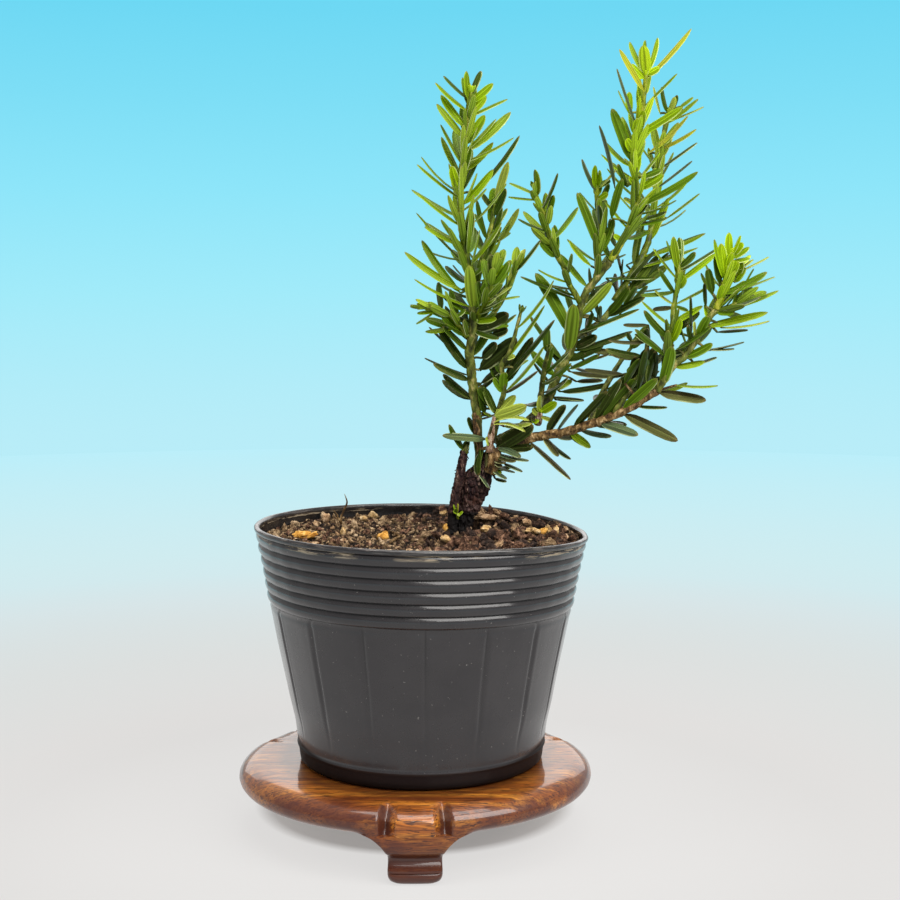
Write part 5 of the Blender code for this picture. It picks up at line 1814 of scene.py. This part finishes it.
LEFT_KINDS = (("crumb", "pale", "pellet", "black", "tan"), (10, 3, 6, 2, 1.2))
RIGHT_KINDS = (("pellet", "crumb", "black", "tan"), (10, 1.8, 7, 1.5))
soil_rng = random.Random(77)
dust_shapes = grain_shapes(0, 6, 0.5, 3.0)
fine_shapes = grain_shapes(1, 8, 0.75, 3.0)
coarse_shapes = grain_shapes(2, 8, 0.62, 11.0)
stone_shapes = grain_shapes(3, 6, 0.42, 21.0)
dust_heap = Heap()
fine_heap = Heap()
coarse_heap = Heap()
stone_places = []
for x, y, size, kind in STONES:
    place = on_soil(x, y)
    # a reading at the far edge may pass over the soil, so it is taken a little lower
    while math.hypot(place.x, place.y) > STONE_EDGE:
        y += 1
        place = on_soil(x, y)
    stone_places.append((place, size, kind))
    strew(coarse_heap, stone_shapes, (place.x, place.y, place.z + size * 0.4), size, kind)


def hides_stone(x, y, size):
    """Whether a grain here would stand in front of a stone that was read off the photograph."""
    for place, stone, _ in stone_places:
        if abs(x - place.x) < stone * 0.8 + size * 0.5 and -3.5 < y - place.y < stone:
            return True
    return False


for heap, shapes, number, sizes in (
    (dust_heap, dust_shapes, DUST_GRAINS, (0.12, 0.30)),
    (fine_heap, fine_shapes, FINE_GRAINS, (0.25, 0.60)),
    (coarse_heap, coarse_shapes, COARSE_GRAINS, (0.60, 1.35)),
):
    for _ in range(number):
        radius = SOIL_EDGE_RADIUS * math.sqrt(soil_rng.random()) * 0.97
        turn = soil_rng.uniform(0, 2 * math.pi)
        x, y = radius * math.cos(turn), radius * math.sin(turn)
        size = soil_rng.uniform(*sizes)
        on_right = x + soil_rng.uniform(-5, 5) > 3.0
        if heap is coarse_heap and (math.hypot(x - FOOT[0], y - FOOT[1]) < 3.6 or (not on_right and size > 0.85)):
            continue
        if size > 0.45 and hides_stone(x, y, size):
            continue
        kinds, shares = RIGHT_KINDS if on_right else LEFT_KINDS
        kind = soil_rng.choices(kinds, shares)[0]
        # grains by the hollows get the painted shade finish too
        if min(math.hypot(x - hollow[0], y - hollow[1]) - min(hollow[2], SHADE_REACH) for hollow in HOLLOWS) < 0.3:
            kind = "shade"
        strew(heap, shapes, (x, y, soil_height(x, y) + size * 0.2), size, kind)

print("grains:", DUST_GRAINS + FINE_GRAINS + COARSE_GRAINS + len(STONES))

# %% [markdown]
# A dry forked twig stands in the soil on the left, and a piece of dead bark lies across its front.

# %% Dry twigs
twig_heap = Heap()
TWIG_DEPTH = 9.0
TWIGS = (
    ([(341, 524), (341, 518), (344, 510), (347, 503), (346, 498), (344.5, 494)], (0.30, 0.28, 0.24, 0.22, 0.16, 0.05)),
    ([(341, 522), (338, 518), (337, 514.5), (333, 510)], (0.28, 0.24, 0.20, 0.06)),
)
for path, radii in TWIGS:
    line = smooth_line([reading("photo", x, y, TWIG_DEPTH) for x, y in path], 0.3)
    add_stem(twig_heap, line, radii, "scaly", sides=8)
for path in (((381, 550), (390, 544), (400, 538)), ((392, 533), (399, 537), (405, 539)), ((522, 548), (530, 545), (538, 548))):
    line = [on_soil(x, y) + Vector((0, 0, 0.4)) for x, y in path]
    add_stem(twig_heap, smooth_line(line, 0.3), (0.25, 0.42, 0.2), "scaly", sides=8)

# %% Soil finishes
def soil_finish(name, dark, mid, light, scale=1100.0):
    finish = Finish(name, roughness=0.95, specular=0.2)
    crumbs = finish.noise(scale, detail=5.0, roughness=0.7)
    toned = finish.ramp(crumbs, [(0.35, dark), (0.50, mid), (0.64, light)])
    # painted shade darkens the sides of a lump down in the gaps, and the underside of each grain
    risen, _, _ = finish.split("UV")
    finish.colour(finish.mix(finish.grade(risen, 0.08, 0.75, 0.92, 0.0), toned, tuple(channel * 0.25 for channel in dark)))
    finish.bump(crumbs, 0.0006, 0.9)
    return finish.material


soil_materials = {
    "bed": soil_finish("soil bed", (0.004, 0.002, 0.001), (0.045, 0.025, 0.013), (0.230, 0.145, 0.075)),
    "shade": soil_finish("painted shade in the soil hollow", (0.002, 0.001, 0.001), (0.005, 0.003, 0.002), (0.016, 0.009, 0.006)),
    "crumb": soil_finish("soil crumb", (0.040, 0.023, 0.012), (0.180, 0.112, 0.058), (0.430, 0.300, 0.170)),
    "pale": soil_finish("pale crumb", (0.110, 0.072, 0.038), (0.340, 0.230, 0.130), (0.600, 0.450, 0.290)),
    "pellet": soil_finish("soil pellet", (0.008, 0.004, 0.003), (0.070, 0.034, 0.020), (0.300, 0.165, 0.100)),
    "black": soil_finish("black pellet", (0.004, 0.003, 0.003), (0.020, 0.011, 0.008), (0.080, 0.048, 0.034)),
    "tan": soil_finish("tan grain", (0.110, 0.060, 0.028), (0.400, 0.245, 0.130), (0.640, 0.460, 0.290)),
    "sand": soil_finish("sand pebble", (0.220, 0.120, 0.040), (0.520, 0.330, 0.140), (0.760, 0.570, 0.330), 800.0),
    "stone": soil_finish("orange pebble", (0.220, 0.085, 0.014), (0.560, 0.270, 0.045), (0.780, 0.480, 0.150), 800.0),
}
bed_heap.build("soil_bed", soil_materials, "soil", ["soil"])
dust_heap.build("soil_dust", soil_materials, "soil", sharp=30)
fine_heap.build("soil_crumbs", soil_materials, "soil", sharp=42)
coarse_heap.build("soil_grains", soil_materials, "soil", sharp=40)
twig_heap.build("dry_twigs", skin_materials, "bark")

# %% [markdown]
# The stand is turned and carved from one dark hardwood: a round board with a rolled edge, and three
# feet cut in a curve. Beside each foot the carver left a V-shaped groove over the edge, which makes
# a knee between them. The board comes off the lathe, and each foot is a stack of flat outlines.

# %% Stand board
BOARD_X = -1.2
BOARD_UNDER = 8.7
BOARD_TOP = 14.0
FOOT_ANGLES = (-90.0, 30.0, 150.0)
GROOVE_ANGLE = 9.4
GROOVE_HALF = 3.1
GROOVE_DEPTH = 2.5
KNEE_FACE = 35.45
BOARD_EDGE = (
    (32.2, 8.7), (33.2, 8.78), (34.1, 9.1), (34.9, 9.65), (35.4, 10.3), (35.6, 11.0), (35.5, 11.7),
    (35.15, 12.4), (34.6, 13.0), (33.8, 13.5), (32.9, 13.85), (31.9, 13.98), (30.8, 14.0),
)


def carve(radius, height, angle):
    """Grooves over the edge beside each knee, and the knee's straighter face."""
    away = min(turned_from(angle, foot) for foot in FOOT_ANGLES)
    edge = min(1.0, max(0.0, (radius - 30.2) / 3.2))
    knee = min(1.0, max(0.0, (GROOVE_ANGLE + 9.5 - away) / 4.0))
    if height < 11.0 and radius > 31.0:
        radius += knee * (KNEE_FACE - radius) * 0.92
    # the outer wall of the groove is steep and the wall on the knee's side slopes gently
    slope = GROOVE_HALF * (0.62 if away > GROOVE_ANGLE else 1.25)
    groove = max(0.0, 1.0 - abs(away - GROOVE_ANGLE) / slope) * min(1.0, max(0.35, (height - 7.2) / 3.4))
    radius -= GROOVE_DEPTH * groove * edge
    if height > 12.0:
        height -= 0.6 * groove * edge
    # the knee stands a little lower than the board, and is rounded from side to side
    if away < GROOVE_ANGLE and height > 11.0:
        height -= 0.35 * edge * (1.0 - away / GROOVE_ANGLE) ** 0.5
    return radius, height


board_outline = [(0.0, BOARD_UNDER), (16.0, BOARD_UNDER), (30.0, BOARD_UNDER)] + list(BOARD_EDGE)
board_outline += [(29.6, BOARD_TOP), (20.0, BOARD_TOP), (10.0, BOARD_TOP), (0.0, BOARD_TOP)]
board_angles = [step * 2.0 for step in range(180)]
for foot in FOOT_ANGLES:
    board_angles = [angle for angle in board_angles if turned_from(angle, foot) > 14.5]
for foot in FOOT_ANGLES:
    board_angles += [(foot + offset * 0.4) % 360 for offset in range(-36, 37)]
board_heap = Heap()
turn_outline(board_heap, board_outline, sorted(board_angles), ["wood"] * (len(board_outline) - 1), carve)
for index, point in enumerate(board_heap.points):
    board_heap.points[index] = point + Vector((BOARD_X * MM, 0, 0))
print("board outline points:", len(board_outline))

# %% Stand feet
# height, how far the face stands out from the axis, half width, corner
FOOT_LEVELS = (
    (0.0, 34.3, 3.6, 1.5),
    (0.2, 34.8, 4.2, 1.6),
    (0.6, 35.25, 4.7, 1.4),
    (1.2, 35.5, 4.95, 1.2),
    (1.9, 35.5, 5.05, 0.9),
    (2.15, 35.25, 5.05, 0.7),
    (2.35, 35.5, 5.05, 0.7),
    (2.75, 35.45, 5.05, 0.7),
    (3.1, 34.7, 5.0, 0.6),
    (3.7, 34.0, 5.0, 0.6),
    (4.4, 33.8, 5.0, 0.6),
    (5.0, 34.0, 5.1, 0.6),
    (5.4, 34.6, 5.25, 0.6),
    (5.7, 35.1, 5.45, 0.6),
    (6.2, 35.35, 5.75, 0.6),
    (7.0, 35.45, 6.4, 0.6),
    (7.8, 35.45, 7.3, 0.6),
    (8.4, 35.45, 8.2, 0.7),
    (8.8, 35.4, 9.1, 0.7),
    (9.1, 35.3, 9.9, 0.8),
)
FOOT_BACK = 27.5


def foot_ring(face, half, corner):
    """A rounded oblong seen from above, with its face towards -y."""
    front = -face + corner
    back = -FOOT_BACK - corner
    side = half - corner
    ring = []
    for centre_x, centre_y, start in ((side, front, -90), (side, back, 0), (-side, back, 90), (-side, front, 180)):
        for step in range(5):
            turn = math.radians(start + 22.5 * step)
            ring.append((centre_x + corner * math.cos(turn), centre_y + corner * math.sin(turn)))
    for step in range(1, 10):
        ring.append((side * (step / 5.0 - 1.0), -face))
    return ring


def add_foot(heap, angle):
    points = []
    rings = []
    turn = math.radians(angle + 90.0)
    for height, face, half, corner in FOOT_LEVELS:
        ring = []
        for x, y in foot_ring(face, half, corner):
            if y < -30.0:
                y += face - math.sqrt(max(0.0, face * face - x * x))
            turned_x = x * math.cos(turn) - y * math.sin(turn)
            turned_y = x * math.sin(turn) + y * math.cos(turn)
            ring.append(len(points))
            points.append(spot(BOARD_X + turned_x, turned_y, height))
        rings.append(ring)
    faces = [tuple(reversed(rings[0])), tuple(rings[-1])]
    for low, high in zip(rings, rings[1:]):
        for number in range(len(low)):
            after = (number + 1) % len(low)
            faces.append((low[number], low[after], high[after], high[number]))
    heap.add(points, faces, ["wood"] * len(faces))


print("foot levels:", len(FOOT_LEVELS))

# %% [markdown]
# The wood is orange-brown under glossy lacquer. Its grain runs from left to right in three sizes:
# broad bands, fine dark lines and short pores. Stain gathers on the rim, the rim's lower edge and
# the feet are darker towards the bottom, and painted shade darkens the grooves and the wood under
# the pot.

# %% Wood finish
wood = Finish("lacquered stand wood", roughness=0.38, coat=1.0, coat_roughness=0.07, specular=0.3)
_, _, wood_height = wood.split()
broad = wood.noise(1.0, detail=4.0, roughness=0.55, vector=wood.stretched((34, 260, 260)), distortion=1.3)
fine = wood.noise(1.0, detail=5.0, roughness=0.65, vector=wood.stretched((150, 2100, 2100)), distortion=1.0)
pores = wood.noise(1.0, detail=2.0, roughness=0.5, vector=wood.stretched((420, 2600, 2600)), distortion=0.3)
BAND_TINTS = [(0.30, (0.190, 0.044, 0.006)), (0.50, (0.440, 0.128, 0.013)), (0.68, (0.740, 0.285, 0.035))]
wood_base = wood.ramp(broad, BAND_TINTS)
wood_lined = wood.mix(wood.grade(fine, 0.38, 0.60, 0.85, 0.0), wood_base, (0.062, 0.015, 0.004))
wood_pored = wood.mix(wood.grade(pores, 0.58, 0.64, 0.0, 0.85), wood_lined, (0.020, 0.005, 0.003))
wood_away = wood.away_from(AXIS_X + BOARD_X * MM, 0.0)
wood_patch = wood.noise(110.0, detail=2.0)
# the lathe's marks say how far round the board a point lies, and so how far it is from a knee
round_share, _, _ = wood.split("UV")
from_knee = wood.maths("PINGPONG", wood.maths("SUBTRACT", round_share, 1 / 12), 1 / 6)
off_knee = wood.grade(from_knee, 0.020, 0.026, 0.25, 1.0)
wood_rim = wood.maths("MULTIPLY", wood.grade(wood_away, 0.0322, 0.0352, 0.0, 0.9), wood.grade(wood_patch, 0.36, 0.60, 0.42, 1.0))
# the rim is darker towards its lower edge
low_edge = wood.maths("MULTIPLY", wood.grade(wood_height, 0.0122, 0.0098, 0.0, 0.65), wood.grade(wood_away, 0.0318, 0.0328))
wood_rim = wood.maths("MULTIPLY", wood.maths("MAXIMUM", wood_rim, low_edge), off_knee)
# painted shadow darkens the wood under the pot's edge
pot_shadow_share = wood.grade(wood_away, 0.0262, 0.0288, 0.6, 0.0)
pot_shadowed = wood.mix(pot_shadow_share, wood_pored, (0.050, 0.016, 0.006))
rim_stain_and_shadow = wood.mix(wood_rim, pot_shadowed, (0.064, 0.012, 0.006))
# painted shade darkens the walls of the grooves too
from_groove = wood.maths("ABSOLUTE", wood.maths("SUBTRACT", from_knee, GROOVE_ANGLE / 360))
groove_wall_shade = wood.maths("MULTIPLY", wood.grade(from_groove, 0.0035, 0.0075, 0.85, 0.0), wood.grade(wood_away, 0.0312, 0.0320))
stain_and_shade = wood.mix(groove_wall_shade, rim_stain_and_shadow, (0.060, 0.016, 0.010))
# the feet are darker towards the bottom
foot_dark = wood.grade(wood_height, 0.0045, 0.0075, 0.8, 0.0)
wood.colour(wood.mix(foot_dark, stain_and_shade, (0.048, 0.011, 0.006)))
low_gloss = wood.maths("MULTIPLY", wood.grade(wood_away, 0.0325, 0.0350), wood.grade(wood_height, 0.0128, 0.0105))
wood.feed(wood.shader, "Coat Weight", wood.grade(low_gloss, 0.0, 1.0, 1.0, 0.5))
wood.bump(fine, 0.00006, 0.4)
wood.bump(wood_patch, 0.0006, 0.25)
wood_materials = {"wood": wood.material}
board_heap.build("board", wood_materials, "stand_wood", ["stand_board"])
for name, angle in zip(("front", "right", "left"), FOOT_ANGLES):
    foot_heap = Heap()
    add_foot(foot_heap, angle)
    foot_heap.build(f"foot_{name}", wood_materials, "stand_wood", [f"stand_foot_{name}"], sharp=50)
